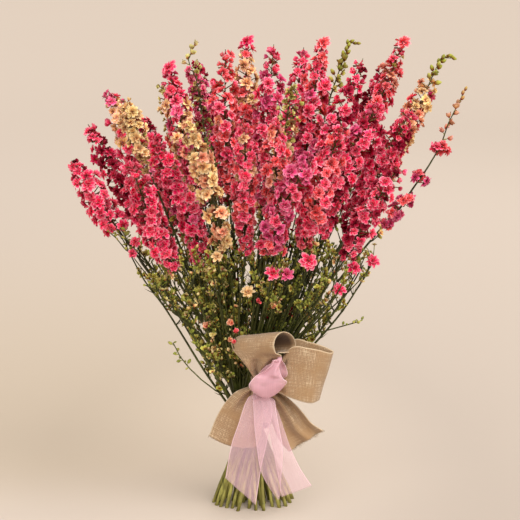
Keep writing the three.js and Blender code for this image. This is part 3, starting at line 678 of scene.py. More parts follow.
@dataclass(frozen=True)
class FloorFinish:
    """A pale matt floor with painted light and shade: a little darker across its middle by painted shade,
    warmer there on the left, and lighter at the front and around the bunch by painted light.
    """

    name: str = "studio_floor"
    colour: Colour = (0.580, 0.502, 0.438)
    # colour of the painted shade band across the middle distance, which shows most on the left
    warm: Colour = (0.580, 0.490, 0.395)
    eye_back: float = 1.956  # where the viewer stands behind the origin, in metres
    eye_height: float = 0.746
    far: float = 0.98  # how light the far floor is
    drop: float = 0.09  # painted shade: how much darker the middle distance is
    rise: tuple[float, float] = (0.14, -0.04)  # painted light: how much lighter the front is, on the left and right
    painted_light_pool: float = 0.38  # painted pool of light: how much lighter the floor is under the bunch, where it lightens the cast shadow
    painted_light_pool_back: float = 0.12  # how far behind the bunch the painted pool of light has its middle, in metres
    painted_light_pool_reach: float = 0.34
    painted_light_pool_depth: float = 2.2  # how much further the painted pool of light reaches behind the bunch than beside it

    def material(self) -> Material:
        """Build the material from slow ramps along and across the floor, which paint light and shade on it.

        Returns:
            The material.
        """
        bench = Bench(self.name)
        x, y, _ = bench.parts(bench.place())
        ahead_of_eye = bench.math("MAXIMUM", bench.math("ADD", y, self.eye_back), 0.05)
        down = bench.math("DIVIDE", self.eye_height, ahead_of_eye)
        side = bench.ramp(x, -0.30, 0.30)
        front = bench.math("MULTIPLY_ADD", side, self.rise[1] - self.rise[0], self.rise[0])
        # painted shade across the middle distance
        light = bench.math("MULTIPLY_ADD", bench.ramp(down, 0.08, 0.20), -self.drop, self.far)
        # painted light at the front
        light = bench.math("MULTIPLY_ADD", bench.ramp(down, 0.33, 0.39), front, light)
        # a painted pool of light round the bunch
        back = bench.math("SUBTRACT", y, self.painted_light_pool_back)
        behind = bench.math("DIVIDE", bench.math("MAXIMUM", back, 0.0), self.painted_light_pool_depth)
        ahead = bench.math("MAXIMUM", bench.math("MULTIPLY", back, -1.0), 0.0)
        depth = bench.math("ADD", behind, ahead)
        squares = bench.math("MULTIPLY_ADD", depth, depth, bench.math("MULTIPLY", x, x))
        near = bench.math("SUBTRACT", 1.0, bench.ramp(bench.math("SQRT", squares), 0.0, self.painted_light_pool_reach))
        light = bench.math("MULTIPLY", light, bench.math("MULTIPLY_ADD", near, self.painted_light_pool, 1.0))
        # the painted shade band, warmer on the left
        band = bench.math("SUBTRACT", bench.ramp(down, 0.15, 0.32), bench.ramp(down, 0.35, 0.40))
        shade_band_warmth = bench.math("MULTIPLY", band, bench.math("SUBTRACT", 1.0, side))
        tone = bench.blend(shade_band_warmth, self.colour, self.warm)
        bench.colour(bench.blend(1.0, tone, bench.grey(light), "MULTIPLY"))
        bench.set(Roughness=0.85, Specular_IOR_Level=0.15)
        return bench.material


# ---- Where the spikes run ------------------------------------------------------------------------


@dataclass
class Courses:
    """The courses of all spikes, from their feet through the tied waist to their tips, in millimetres."""

    waist_z: float = 108.0
    waist_share: tuple[float, float] = (0.09, 0.065)
    waist_spacing: float = 6.0
    waist_centre: tuple[float, float] = (-8.0, 0.0)
    foot_centre: tuple[float, float] = (-5.0, 0.0)
    pressing_rounds: int = 500
    pressing_squeeze: float = 0.995
    pair_half_spacing: float = 1.9
    foot_spread: tuple[float, float] = (0.15, 0.24)
    foot_scale: float = 1.12
    tip_slope_share: float = 0.86
    nod_start: float = 0.8
    foot_radius: float = 3.1
    top_radius: float = 1.9
    head_room: float = 1.06  # of a head's own radius
    fused_below: float = 30.0  # a pair's stalks may touch up to here below their heads
    level: float = 18.0
    bending_rounds: int = 150
    push_shares: tuple[float, ...] = (0.19, 0.35, 0.51, 0.35, 0.19)
    clearance: float = 2.0
    waist_clearance: float = 0.15
    clearance_run: float = 60.0
    push_share: float = 0.3  # of what two spikes need, in one round
    sway_run: float = 120.0  # length of stalk below a head over which it eases into the head's sway
    shift: Vector = field(default_factory=Vector)

    def __post_init__(self) -> None:
        """Lay every spike's course and bend neighbours clear of each other."""
        self.tips = np.array([row.tip for row in SPIKES], float)
        self.nods = np.array([row.nod for row in SPIKES], float)
        self.waists = np.array(self._pressed_waist())
        local = self.waists - self.waist_centre
        self.feet = local * self.foot_scale + self.foot_centre - self.tips[:, :2] * self.foot_spread
        self.straight = self.tips[:, :2] - np.stack([self.nods, 0 * self.nods], 1)
        self.rise = self.tips[:, 2] - self.waist_z
        self.lower = (self.waists - self.feet) / self.waist_z
        self.upper = (self.straight - self.waists) / self.rise[:, None]
        self.middle_slope = (self.lower + self.upper) / 2
        self.lean = 1 / np.hypot(1, np.linalg.norm(self.upper, axis=1))
        self.seats = self.tips[:, 2] - np.array([row.length for row in SPIKES]) * self.lean
        self.counts = np.ceil(self.tips[:, 2] / self.level).astype(int) + 3
        self.shifts = np.zeros((len(SPIKES), self.counts.max(), 2))
        self._bend_clear()

    def _pressed_waist(self) -> list[list[float]]:
        """Press the stalks together at the waist.

        Returns:
            x and y of each stalk's middle.
        """
        points: list[list[float]] = []
        for k in range(0, len(SPIKES), 2):
            (ax, ay, _), (bx, by, _) = SPIKES[k].tip, SPIKES[k + 1].tip
            x, y = (ay + by) * self.waist_share[0], -(ax + bx) * self.waist_share[1]
            size = math.hypot(ay - by, bx - ax)
            ox, oy = (ay - by) / size * self.pair_half_spacing, (bx - ax) / size * self.pair_half_spacing
            points += [[x + ox, y + oy], [x - ox, y - oy]]
        for turn in range(self.pressing_rounds):
            squeeze = self.pressing_squeeze if turn < self.pressing_rounds * 0.7 else 1.0
            points = [[x * squeeze, y * squeeze] for x, y in points]
            for k, first in enumerate(points):
                for m in range(k + 1, len(points)):
                    second = points[m]
                    dx, dy = first[0] - second[0], first[1] - second[1]
                    fused = k >> 1 == m >> 1
                    if not fused and (abs(dx) > self.waist_spacing or abs(dy) > self.waist_spacing):
                        continue
                    size = math.hypot(dx, dy)
                    parting = (2 * self.pair_half_spacing if fused else self.waist_spacing) - size
                    if fused or parting > 0:
                        ox, oy = dx / size * parting * 0.4, dy / size * parting * 0.4
                        first[0] += ox
                        first[1] += oy
                        second[0] -= ox
                        second[1] -= oy
        return [[x + self.waist_centre[0], y + self.waist_centre[1]] for x, y in points]

    def _course(self, k: int, height: float) -> np.ndarray:
        """The unbent course of a spike.

        Args:
            k: Number of the spike, from 0.
            height: Height in millimetres.

        Returns:
            Its x and y there, in millimetres.
        """
        if height < self.waist_z:
            start, end = self.feet[k], self.waists[k]
            low, high, run, u = self.lower[k], self.middle_slope[k], self.waist_z, height / self.waist_z
        else:
            start, end, run = self.waists[k], self.straight[k], self.rise[k]
            low, high = self.middle_slope[k], self.upper[k] * self.tip_slope_share
            u = (height - self.waist_z) / run
        u2, u3 = u * u, u * u * u
        at = start * (2 * u3 - 3 * u2 + 1) + low * (u3 - 2 * u2 + u) * run
        at = at + end * (3 * u2 - 2 * u3) + high * (u3 - u2) * run
        if height >= self.waist_z:
            nodding = max(0.0, (u - self.nod_start) / (1 - self.nod_start)) ** 2
            at = at + np.array([self.nods[k] * nodding, 0.0])
        return at

    def fullness(self, u: float) -> float:
        """The head's share of its full radius: slimmer at the bottom, tapering to the tip."""
        return min(1.0, 0.62 + 1.3 * u) * min(1.0, 0.32 + 1.25 * (1 - u))

    def room(self, k: int, height: float) -> float:
        """The room that a spike takes: its stalk's or its head's radius.

        Args:
            k: Number of the spike, from 0.
            height: Height in millimetres.

        Returns:
            The radius in millimetres.
        """
        seat, top = self.seats[k], self.tips[k, 2]
        if height < seat - 4:
            share = min(max(height / seat, 0.0), 1.0)
            return (self.foot_radius + (self.top_radius - self.foot_radius) * share) / self.lean[k] ** 0.7
        u = min(max((height - seat) / (top - seat), 0.0), 1.0)
        return SPIKES[k].radius * self.head_room * self.fullness(u) / self.lean[k] ** 0.5

    def _crossing_way(self, a: int, b: int, low: float, high: float) -> Optional[np.ndarray]:
        """The way in which two spikes that cross over a stretch are to pass each other.

        Args:
            a: Number of one spike.
            b: Number of the other.
            low: Height at which the stretch starts.
            high: Height at which it ends.

        Returns:
            A direction square to their crossing, or None where they don't cross.
        """
        first = self._course(a, low) - self._course(b, low)
        last = self._course(a, high) - self._course(b, high)
        if first @ last >= 0:
            return None
        turn = last - first
        way = np.array([-turn[1], turn[0]]) / np.hypot(*turn)
        return -way if way @ first + way @ last < 0 else way

    def _bend_clear(self) -> None:
        """Bend neighbouring spikes apart, level by level, until they no longer touch."""
        count, levels = len(SPIKES), self.counts.max()
        firsts, seconds = np.triu_indices(count, 1)
        tops = np.minimum(self.tips[firsts, 2], self.tips[seconds, 2])
        steps = np.arange(levels)
        level_heights = steps * self.level
        used = level_heights[None] < tops[:, None] + self.level
        heights = np.minimum(level_heights[None], tops[:, None])
        ways = np.zeros((len(firsts), levels, 2))
        needs = np.zeros((len(firsts), levels))
        bases = np.zeros((2, len(firsts), levels, 2))
        own = [[(self._course(k, h), self.room(k, h)) for h in level_heights] for k in range(count)]
        for p, (a, b) in enumerate(zip(firsts, seconds)):
            below = self._crossing_way(a, b, 0.0, self.waist_z)
            above = self._crossing_way(a, b, self.waist_z, tops[p])
            fused = a >> 1 == b >> 1
            for s in steps[used[p]]:
                h = heights[p, s]
                on_level = h == level_heights[s]
                for n, k in enumerate((a, b)):
                    bases[n, p, s] = own[k][s][0] if on_level else self._course(k, h)
                rooms = sum(own[k][s][1] if on_level else self.room(k, h) for k in (a, b))
                away = abs(h - self.waist_z) / self.clearance_run
                clearance = self.clearance * min(1.0, self.waist_clearance + away)
                free = fused and h < self.seats[a] - self.fused_below
                needs[p, s] = NEVER if free else rooms + clearance
                way = below if h < self.waist_z else above
                if way is not None:
                    ways[p, s] = way
        needs[~used] = NEVER
        crossing = np.abs(ways).sum(2) > 0
        places = []
        for ends in (firsts, seconds):
            at = np.minimum(heights / self.level, self.counts[ends, None] - 1 - 0.001)
            floor = np.floor(at).astype(int)
            places.append((ends[:, None], floor, (at - floor)[..., None]))
        reach = (len(self.push_shares) - 1) // 2
        for _ in range(self.bending_rounds):
            sides = []
            for n, (ends, floor, part) in enumerate(places):
                lowest = self.shifts[ends, floor]
                sides.append(bases[n] + lowest + (self.shifts[ends, floor + 1] - lowest) * part)
            between = sides[0] - sides[1]
            apart = np.linalg.norm(between, axis=2)
            parting = np.maximum(0.0, needs - apart) * self.push_share
            straight = between / np.maximum(apart, 1e-9)[..., None]
            push = np.where(crossing[..., None], ways, straight) * parting[..., None]
            pushes = np.zeros_like(self.shifts)
            np.add.at(pushes, (firsts[:, None], steps[None]), push)
            np.subtract.at(pushes, (seconds[:, None], steps[None]), push)
            for n, share in enumerate(self.push_shares):
                source = np.clip(steps[None] + n - reach, 0, self.counts[:, None] - 1)
                self.shifts += share * pushes[np.arange(count)[:, None], source]
            waist = int(self.waist_z / self.level)
            shared = (self.shifts[0::2, waist] + self.shifts[1::2, waist]) / 2
            self.shifts[0::2, waist] = shared
            self.shifts[1::2, waist] = shared

    def middle(self, k: int, height: float) -> Vector:
        """A spike's middle at a height.

        Args:
            k: Number of the spike, from 0.
            height: Height in millimetres.

        Returns:
            The point in metres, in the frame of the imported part.
        """
        at = min(max(height / self.level, 0.0), self.counts[k] - 1.001)
        floor = int(at)
        low, high = self.shifts[k, floor], self.shifts[k, floor + 1]
        x, y = self._course(k, height) + low + (high - low) * (at - floor)
        return Vector((x, y, height)) * MM + self.shift

    def strayed(self, k: int, height: float) -> Vector:
        """A spike's middle at a height with its sway, which its stalk eases into below the head.

        Args:
            k: Number of the spike, from 0.
            height: Height in millimetres.

        Returns:
            The point in metres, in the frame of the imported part.
        """
        at = self.middle(k, height)
        if SPIKES[k].sway:
            seat, top = self.seats[k], self.tips[k, 2]
            shares, right, up = zip(*SPIKES[k].sway)
            share = (height - seat) / (top - seat)
            ease = min(max(1 + (height - seat) / self.sway_run, 0.0), 1.0) ** 2
            at += Vector((np.interp(share, shares, right), 0.0, np.interp(share, shares, up))) * ease * MM
        return at

    def frame(self, k: int, height: float) -> tuple[Vector, Vector, Vector, Vector]:
        """A spike's middle with the directions along and across it.

        Args:
            k: Number of the spike, from 0.
            height: Height in millimetres.

        Returns:
            The middle in metres, the direction along the spike and two directions square to it.
        """
        along = (self.strayed(k, height + 5) - self.strayed(k, height - 5)).normalized()
        side = (Vector((1, 0, 0)) - along * along.x).normalized()
        return self.strayed(k, height), along, side, side.cross(along)


# ---- Small shapes and their piles ------------------------------------------------------------------


@dataclass(frozen=True)
class Whorl:
    """A ring of petals: how many, their size in millimetres, and how they stand."""

    count: int
    length: float
    width: float
    spread: float  # degrees from the floret's own axis
    curl: float  # how far the tips bend back, as a share of the length


def finished_mesh(bm: BMesh, name: str) -> Mesh:
    """Turn a mesh in the making into a mesh.

    Args:
        bm: The mesh in the making, which is freed.
        name: Name of the mesh.

    Returns:
        The mesh.
    """
    mesh = bpy.data.meshes.new(name)
    bm.to_mesh(mesh)
    bm.free()
    return mesh


def linked(name: str, data: ID) -> Object:
    """Link a mesh, a lamp or a camera to the scene.

    Args:
        name: Name of its object.
        data: What the object shows.

    Returns:
        The object, at the origin.
    """
    made = bpy.data.objects.new(name, data)
    bpy.context.scene.collection.objects.link(made)
    return made


@dataclass
class Shapes:
    """Petals, florets and buds, each made once as a small mesh and then copied."""

    double: tuple[Whorl, ...] = (
        Whorl(8, 9.3, 5.7, 84, 0.25),
        Whorl(7, 8.3, 5.0, 58, 0.15),
        Whorl(6, 6.9, 4.4, 32, 0.04),
    )
    single: tuple[Whorl, ...] = (Whorl(8, 9.1, 5.4, 70, 0.18), Whorl(6, 6.8, 4.3, 36, 0.06))
    half_open: tuple[Whorl, ...] = (Whorl(5, 8.4, 5.8, 40, -0.18), Whorl(4, 7.0, 4.4, 18, -0.1))
    cup: tuple[Whorl, ...] = (Whorl(5, 6.4, 4.8, 50, -0.05),)
    bract_leaf: tuple[Whorl, ...] = (Whorl(1, 7.5, 2.0, 40, -0.2),)
    bud_size: tuple[float, float] = (3.1, 1.9)  # half its length, and its radius
    pod_size: tuple[float, float] = (2.6, 1.3)
    stalk_radii: tuple[float, float] = (0.75, 0.55)  # of a floret's stalk, at its root and its end
    cupping: float = 0.16  # how far a petal's sides stand up, as a share of its width
    crinkle: float = 0.15  # how far its points stray, likewise
    petal_rows: int = 2

    def __post_init__(self) -> None:
        """Make every small shape."""
        dice = Random(11)
        self.doubles = [self._floret(f"double_{n}", self.double, dice) for n in range(5)]
        self.singles = [self._floret(f"single_{n}", self.single, dice) for n in range(3)]
        self.closed = [self._floret(f"closed_{n}", self.half_open, dice) for n in range(3)]
        self.cups = [self._floret(f"cup_{n}", self.cup, dice) for n in range(3)]
        self.bud = self._bud("bud", *self.bud_size)
        self.pod = self._bud("pod", *self.pod_size)
        self.bract = self._floret("bract", self.bract_leaf, dice)
        self.pedicel = self._pedicel()

    def _petal(self, bm: BMesh, whorl: Whorl, number: int, turn: float, dice: Random) -> None:
        """Add one petal to a floret: a small cupped sheet that leans out from the axis and curls back.

        Args:
            bm: Mesh of the floret.
            whorl: Sizes of its ring.
            number: The petal's number, which its finish takes from the whole part of its U.
            turn: Angle round the floret.
            dice: Source of chance.
        """
        made = bmesh.ops.create_grid(bm, x_segments=2, y_segments=self.petal_rows, size=0.5)["verts"]
        uv = bm.loops.layers.uv["petal_uv"]
        for face in {f for v in made for f in v.link_faces}:
            face.smooth = True
            for loop in face.loops:
                loop[uv].uv = (number + 0.02 + 0.96 * (loop.vert.co.x + 0.5), loop.vert.co.y + 0.5)
        length = whorl.length * dice.uniform(0.78, 1.12)
        width = whorl.width * dice.uniform(0.85, 1.15)
        spread = math.radians(whorl.spread + dice.uniform(-24, 20))
        ruffle = dice.uniform(-0.16, 0.16)
        for vert in made:
            a, v = 2 * vert.co.x, vert.co.y + 0.5
            outline = 0.30 + 1.75 * v - 1.30 * v * v * v
            x = a * outline * width * 0.5
            y = length * v * (1 - 0.17 * a * a * v)
            z = width * self.cupping * a * a - length * whorl.curl * v * v + ruffle * length * v * a
            z += dice.uniform(-1, 1) * self.crinkle * width * v
            vert.co = (x, y, z)
        roll = Matrix.Rotation(dice.uniform(-0.55, 0.55), 4, "Y")
        stand = Matrix.Rotation(math.pi / 2 - spread, 4, "X")
        out = Matrix.Translation((0, whorl.length * 0.07, 0))
        place = Matrix.Rotation(turn, 4, "Z") @ out @ stand @ roll
        bmesh.ops.transform(bm, matrix=Matrix.Scale(MM, 4) @ place, verts=made)

    def _floret(self, name: str, whorls: Sequence[Whorl], dice: Random) -> Mesh:
        """Make a floret that opens along +Z.

        Args:
            name: Name of its mesh.
            whorls: Its rings of petals, from the outside in.
            dice: Source of chance.

        Returns:
            The mesh, in metres.
        """
        bm = bmesh.new()
        bm.loops.layers.uv.new("petal_uv")
        number = 0
        for whorl in whorls:
            start = dice.uniform(0, math.tau)
            for n in range(whorl.count):
                turn = start + math.tau * n / whorl.count + dice.uniform(-0.2, 0.2)
                self._petal(bm, whorl, number, turn, dice)
                number += 1
        return self._finished(bm, name)

    def _bud(self, name: str, length: float, radius: float) -> Mesh:
        """Make a closed bud that points along +Z from the origin.

        Args:
            name: Name of its mesh.
            length: Half its length in millimetres.
            radius: Its radius in millimetres.

        Returns:
            The mesh, in metres.
        """
        bm = bmesh.new()
        uv = bm.loops.layers.uv.new("petal_uv")
        bmesh.ops.create_uvsphere(bm, u_segments=6, v_segments=4, radius=1.0)
        for vert in bm.verts:
            wide = radius * (1.0 - 0.35 * max(vert.co.z, 0.0))
            vert.co = Vector((vert.co.x * wide, vert.co.y * wide, (vert.co.z + 1) * length)) * MM
        for face in bm.faces:
            face.smooth = True
            for loop in face.loops:
                loop[uv].uv = (0.5, loop.vert.co.z / (2 * length * MM))
        return self._finished(bm, name)

    def _pedicel(self) -> Mesh:
        """Make a thin stalk one metre long along +Z, which is scaled where it is used.

        Returns:
            The mesh.
        """
        bm = bmesh.new()
        bm.loops.layers.uv.new("petal_uv")
        low, high = (radius * MM for radius in self.stalk_radii)
        bmesh.ops.create_cone(bm, segments=4, radius1=low, radius2=high, depth=1.0, cap_ends=False)
        bmesh.ops.translate(bm, vec=(0, 0, 0.5), verts=bm.verts)
        return self._finished(bm, "pedicel")

    def _finished(self, bm: BMesh, name: str) -> Mesh:
        """Turn a mesh in the making into a mesh with a colour attribute.

        Args:
            bm: The mesh in the making.
            name: Name of the mesh.

        Returns:
            The mesh.
        """
        mesh = finished_mesh(bm, name)
        mesh.color_attributes.new("tint", "FLOAT_COLOR", "POINT")
        return mesh

    def drop(self) -> None:
        """Remove the small shapes once everything is built from them."""
        florets = (*self.doubles, *self.singles, *self.closed, *self.cups)
        for mesh in (*florets, self.bud, self.pod, self.bract, self.pedicel):
            bpy.data.meshes.remove(mesh)


class Pile:
    """Turned and tinted copies of small shapes, and tubes, gathered into one mesh."""

    def __init__(self) -> None:
        """Start an empty mesh."""
        self.bm = bmesh.new()
        self.curves: dict[int, Curve] = {}

    def add(self, shape: Mesh, place: Matrix, tint: Colour, slot: int) -> None:
        """Add a copy of a shape.

        Args:
            shape: The small mesh.
            place: Where it goes, in metres.
            tint: Its linear colour.
            slot: Number of its material.
        """
        copy = shape.copy()
        copy.transform(place)
        copy.attributes["tint"].data.foreach_set("color", (*tint, 1.0) * len(copy.vertices))
        copy.polygons.foreach_set("material_index", [slot] * len(copy.polygons))
        self.bm.from_mesh(copy)
        bpy.data.meshes.remove(copy)

    def tube(self, points: Sequence[Vector], radii: Sequence[float], slot: int, fineness: int = 1) -> None:
        """Add a round stem along points.

        Args:
            points: Its middle, in metres.
            radii: Its radius at each point, in millimetres.
            slot: Number of its material.
            fineness: 0 for four sides, 1 for six and 2 for eight.
        """
        key = slot * 10 + fineness
        if key not in self.curves:
            curve = bpy.data.curves.new("tubes", "CURVE")
            curve.dimensions = "3D"
            curve.bevel_depth = 1.0
            curve.bevel_resolution = fineness
            curve.use_fill_caps = True
            self.curves[key] = curve
        spline = self.curves[key].splines.new("POLY")
        spline.points.add(len(points) - 1)
        for at, point, radius in zip(spline.points, points, radii):
            at.co = (*point, 1.0)
            at.radius = radius * MM

    def piece(
        self,
        name: str,
        materials: Sequence[Material],
        slot: str,
        node: Optional[str] = None,
        cut_floor: bool = False,
    ) -> Object:
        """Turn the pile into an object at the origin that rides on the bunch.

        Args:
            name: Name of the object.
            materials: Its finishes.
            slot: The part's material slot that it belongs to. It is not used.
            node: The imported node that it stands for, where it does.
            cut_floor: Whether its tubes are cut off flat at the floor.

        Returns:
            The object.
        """
        for key, curve in self.curves.items():
            holder = bpy.data.objects.new("tubes", curve)
            mesh = bpy.data.meshes.new_from_object(holder)
            mesh.polygons.foreach_set("material_index", [key // 10] * len(mesh.polygons))
            mesh.polygons.foreach_set("use_smooth", [True] * len(mesh.polygons))
            rounds = bmesh.new()
            rounds.from_mesh(mesh)
            bmesh.ops.remove_doubles(rounds, verts=rounds.verts, dist=1e-7)
            if cut_floor:
                self._cut(rounds)
            rounds.to_mesh(mesh)
            rounds.free()
            self.bm.from_mesh(mesh)
            bpy.data.objects.remove(holder)
            bpy.data.curves.remove(curve)
            bpy.data.meshes.remove(mesh)
        mesh = finished_mesh(self.bm, name)
        for material in materials:
            mesh.materials.append(material)
        made = linked(name, mesh)
        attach(made, "root")
        if node:
            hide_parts(node)
        return made

    def _cut(self, bm: BMesh) -> None:
        """Cut tubes off at the floor and close their ends.

        Args:
            bm: The tubes.
        """
        geom = [*bm.verts, *bm.edges, *bm.faces]
        cut = bmesh.ops.bisect_plane(bm, geom=geom, plane_co=(0, 0, 0), plane_no=UP, clear_inner=True)
        edges = [e for e in cut["geom_cut"] if isinstance(e, BMEdge)]
        for face in bmesh.ops.holes_fill(bm, edges=edges, sides=0)["faces"]:
            face.smooth = False


def aimed(at: Vector, way: Vector, turn: float, size: float, length: Optional[float] = None) -> Matrix:
    """Matrix that puts a shape at a point with its +Z along a direction.

    Args:
        at: Where its origin goes.
        way: Where its +Z points.
        turn: Angle round that direction.
        size: Scale.
        length: Scale along +Z alone, where that differs.

    Returns:
        The matrix.
    """
    lay = way.to_track_quat("Z", "Y").to_matrix().to_4x4()
    scale = Matrix.Diagonal((size, size, size if length is None else length, 1.0))
    return Matrix.Translation(at) @ lay @ Matrix.Rotation(turn, 4, "Z") @ scale


def mixed(first: Colour, second: Colour, share: float) -> Colour:
    """A colour between two others."""
    return tuple(a + (b - a) * share for a, b in zip(first, second))


def varied(tint: Colour, dice: Random, amount: float = 0.22) -> Colour:
    """A colour made somewhat lighter or darker, warmer or cooler.

    Args:
        tint: The colour.
        dice: Source of chance.
        amount: How much lighter or darker it may be.

    Returns:
        The new colour.
    """
    light = 1.0 + dice.uniform(-amount, amount)
    warm = dice.uniform(-0.3, 0.3) * amount
    return (min(1.0, tint[0] * light), tint[1] * light * (1 + warm), tint[2] * light * (1 - warm))


def around(side: Vector, depth: Vector, turn: float) -> Vector:
    """The direction at an angle from one of two directions square to each other to the other."""
    return side * math.cos(turn) + depth * math.sin(turn)


def strewn(dice: Random, rise: float) -> Vector:
    """A direction sideways by chance, with a given rise."""
    return Vector((dice.uniform(-1, 1), dice.uniform(-1, 1), rise)).normalized()


def stray(dice: Random) -> Vector:
    """A vector of three numbers between -1 and 1."""
    return Vector([dice.uniform(-1, 1) for _ in range(3)])


def between(points: Sequence[Vector], place: float) -> Vector:
    """The point at a place along a row of points, counted in points from the first."""
    low = min(int(place), len(points) - 2)
    return points[low].lerp(points[low + 1], place - low)


# ---- Flower heads ------------------------------------------------------------------------------------


@dataclass
class FlowerHead:
    """The florets of one spike: a column of ruffled double florets that closes up to its tip."""

    number: int
    courses: Courses
    shapes: Shapes
    petals: Material
    stem: Material
    leaf: Material
    floret_pitch: float = 2.65  # millimetres of head for each floret
    seat_share: float = 0.60  # where a floret sits, as a share of the head's radius
    usual_radius: float = 20.5  # of a head whose florets are of the usual size
    clump_size: int = 6
    clump_growth: float = 1.22  # of florets that sit in separate groups
    stalk_rings: int = 28
    stalk_radii: tuple[float, float] = (1.7, 0.5)
    point_florets: int = 6
    last_floret: float = 0.95  # share of the head at which the open florets end

    def __post_init__(self) -> None:
        """Look up the spike's row and the heights of its head's ends."""
        self.row = SPIKES[self.number]
        self.seat, self.top = self.courses.seats[self.number], self.courses.tips[self.number, 2]

    def _tone(self, u: float, dice: Random) -> Tone:
        """Pick the tone of a floret.

        Args:
            u: Share of the head, from its seat to its tip.
            dice: Source of chance.

        Returns:
            The tone.
        """
        for low, high, tone, chance in self.row.accents:
            if low <= u <= high and dice.random() < chance:
                return tone
        return self.row.tone

    def _fullness(self, u: float) -> float:
        """The head's share of its full radius, which stays broad nearly up to its tip."""
        return min(1.0, 0.52 + 1.5 * u) * min(1.0, 0.52 + 2.2 * (1 - u))

    def _shape(self, tone: Tone, u: float, dice: Random) -> tuple[Mesh, float]:
        """Pick a floret's shape: closed ones near the tip, and green ones closed or cupped.

        Args:
            tone: The floret's tone.
            u: Share of the head, from its seat to its tip.
            dice: Source of chance.

        Returns:
            The shape and its scale.
        """
        shapes = self.shapes
        if tone is Tone.GREEN:
            return dice.choice(shapes.closed if dice.random() < 0.5 else shapes.cups), 0.9
        if u > 0.86:
            return dice.choice(shapes.closed if dice.random() < 0.6 else shapes.singles), 1.0
        if u > 0.72 and dice.random() < 0.4:
            return dice.choice(shapes.closed if dice.random() < 0.5 else shapes.singles), 0.95
        return dice.choice(shapes.doubles if dice.random() < 0.8 else shapes.singles), 1.0

    def _floret(self, pile: Pile, u: float, turn: float, dice: Random) -> None:
        """Add a floret with its stalk and bract.

        Args:
            pile: Where it goes.
            u: Share of the head, from its seat to its tip.
            turn: Angle round the head.
            dice: Source of chance.
        """
        height = self.seat + (self.top - self.seat) * u
        at, along, side, depth = self.courses.frame(self.number, height)
        full = self._fullness(u)
        radius = self.row.radius * full
        out = around(side, depth, turn).normalized()
        lift = math.radians(dice.uniform(-24, 46) + 24 * u * u)
        aside = along.cross(out) * dice.uniform(-0.5, 0.5)
        way = (out * math.cos(lift) + along * math.sin(lift) + aside).normalized()
        usual = (self.row.radius / self.usual_radius) ** 0.6
        size = (0.42 + 0.60 * full) * usual * dice.uniform(0.76, 1.12)
        if self.row.clumps:
            size *= self.clump_growth
        root = at - along * radius * 0.3 * MM
        seat_share = self.seat_share * (1.0 if u < 0.8 else 0.62) * dice.uniform(0.66, 1.30)
        place = at + out * radius * seat_share * MM
        stalk = place - root
        pile.add(self.shapes.pedicel, aimed(root, stalk, 0.0, 1.0, stalk.length), Tone.DUSK.value, 2)
        tone = self._tone(u, dice)
        shape, share = self._shape(tone, u, dice)
        tint = varied(tone.value, dice)
        if tone is Tone.GREEN:
            tint = mixed(tint, Tone.PALE.value, dice.uniform(0.0, 0.7))
        pile.add(shape, aimed(place, way, dice.uniform(0, math.tau), size * share), tint, 0)
        if dice.random() < 0.3:
            below = (way - along * 0.5).normalized()
            pile.add(self.shapes.bract, aimed(root, below, turn, 1.2), Tone.DUSK.value, 2)

    def _spray(self, pile: Pile, dice: Random) -> None:
        """End the head in a loose spray of closed buds on short stalks.

        Args:
            pile: Where they go.
            dice: Source of chance.
        """
        row = self.row
        loose = row.crown is Crown.WISP
        bud_tone = Tone.PALE if loose else Tone.GREEN
        light = (Tone.PEACH if row.tone is Tone.CORAL else bud_tone).value
        for n in range(row.buds):
            share = n / (row.buds - 1)
            height = self.seat + (self.top - self.seat) * (row.opens + (0.985 - row.opens) * share)
            at, along, side, depth = self.courses.frame(self.number, height - 3)
            turn = n * GOLDEN_ANGLE + dice.uniform(-0.3, 0.3)
            out = around(side, depth, turn)
            way = (out * (1.1 - 0.9 * share) + along * (0.6 + share)).normalized()
            tint = varied(mixed(light, Tone.MOSS.value, 0.3 if loose else 0.15 + 0.5 * share), dice)
            stalk = way * (6.0 - 4.5 * share) * dice.uniform(0.6, 1.1) * MM
            pile.add(self.shapes.pedicel, aimed(at, way, 0.0, 1.0, stalk.length), Tone.MOSS.value, 2)
            if loose or (share < 0.75 if row.clumps else share < 0.55 and dice.random() < 0.6):
                pile.add(dice.choice(self.shapes.closed), aimed(at + stalk, way, turn, 0.92), tint, 0)
            else:
                pile.add(self.shapes.bud, aimed(at + stalk, way, 0.0, 1.75 - 0.6 * share), tint, 0)

    def _point(self, pile: Pile, dice: Random) -> None:
        """End the head in half-open florets that close up to a tip, or in an open one.

        Args:
            pile: Where they go.
            dice: Source of chance.
        """
        for n in range(self.point_florets):
            share = n / (self.point_florets - 1)
            height = self.top - (13 - 11 * share) * self.courses.lean[self.number]
            at, along, side, depth = self.courses.frame(self.number, height - 3)
            turn = n * GOLDEN_ANGLE
            way = (around(side, depth, turn) * (0.75 - 0.6 * share) + along).normalized()
            tint = varied(mixed(self._tone(0.95, dice).value, Tone.DEEP.value, 0.25), dice)
            shape = dice.choice(self.shapes.closed) if n < 4 else self.shapes.bud
            pile.add(shape, aimed(at - along * 5 * MM, way, turn, 0.72 - 0.2 * share), tint, 0)
        if self.row.crown is Crown.BLOOM:
            at, along, side, _ = self.courses.frame(self.number, self.top - 5)
            way = (along - side * 0.5 - Vector((0, 0.6, 0))).normalized()
            tint = varied(self._tone(1.0, dice).value, dice, 0.1)
            pile.add(self.shapes.doubles[0], aimed(at, way, 0.0, 1.15), tint, 0)

    def _places(self, last: float, dice: Random) -> list[float]:
        """Where the florets sit: in groups, or evenly along the head.

        Args:
            last: Share of the head at which they end.
            dice: Source of chance.

        Returns:
            The share of the head for each floret.
        """
        row = self.row
        if row.clumps:
            return [u + dice.uniform(-0.028, 0.028) for u in row.clumps for _ in range(self.clump_size)]
        first = 0.02 + row.bare
        count = round(row.length * (last - row.bare) / self.floret_pitch)
        run = last - 0.01 - first
        return [first + run * (n + dice.uniform(-0.4, 0.4)) / (count - 1) for n in range(count)]

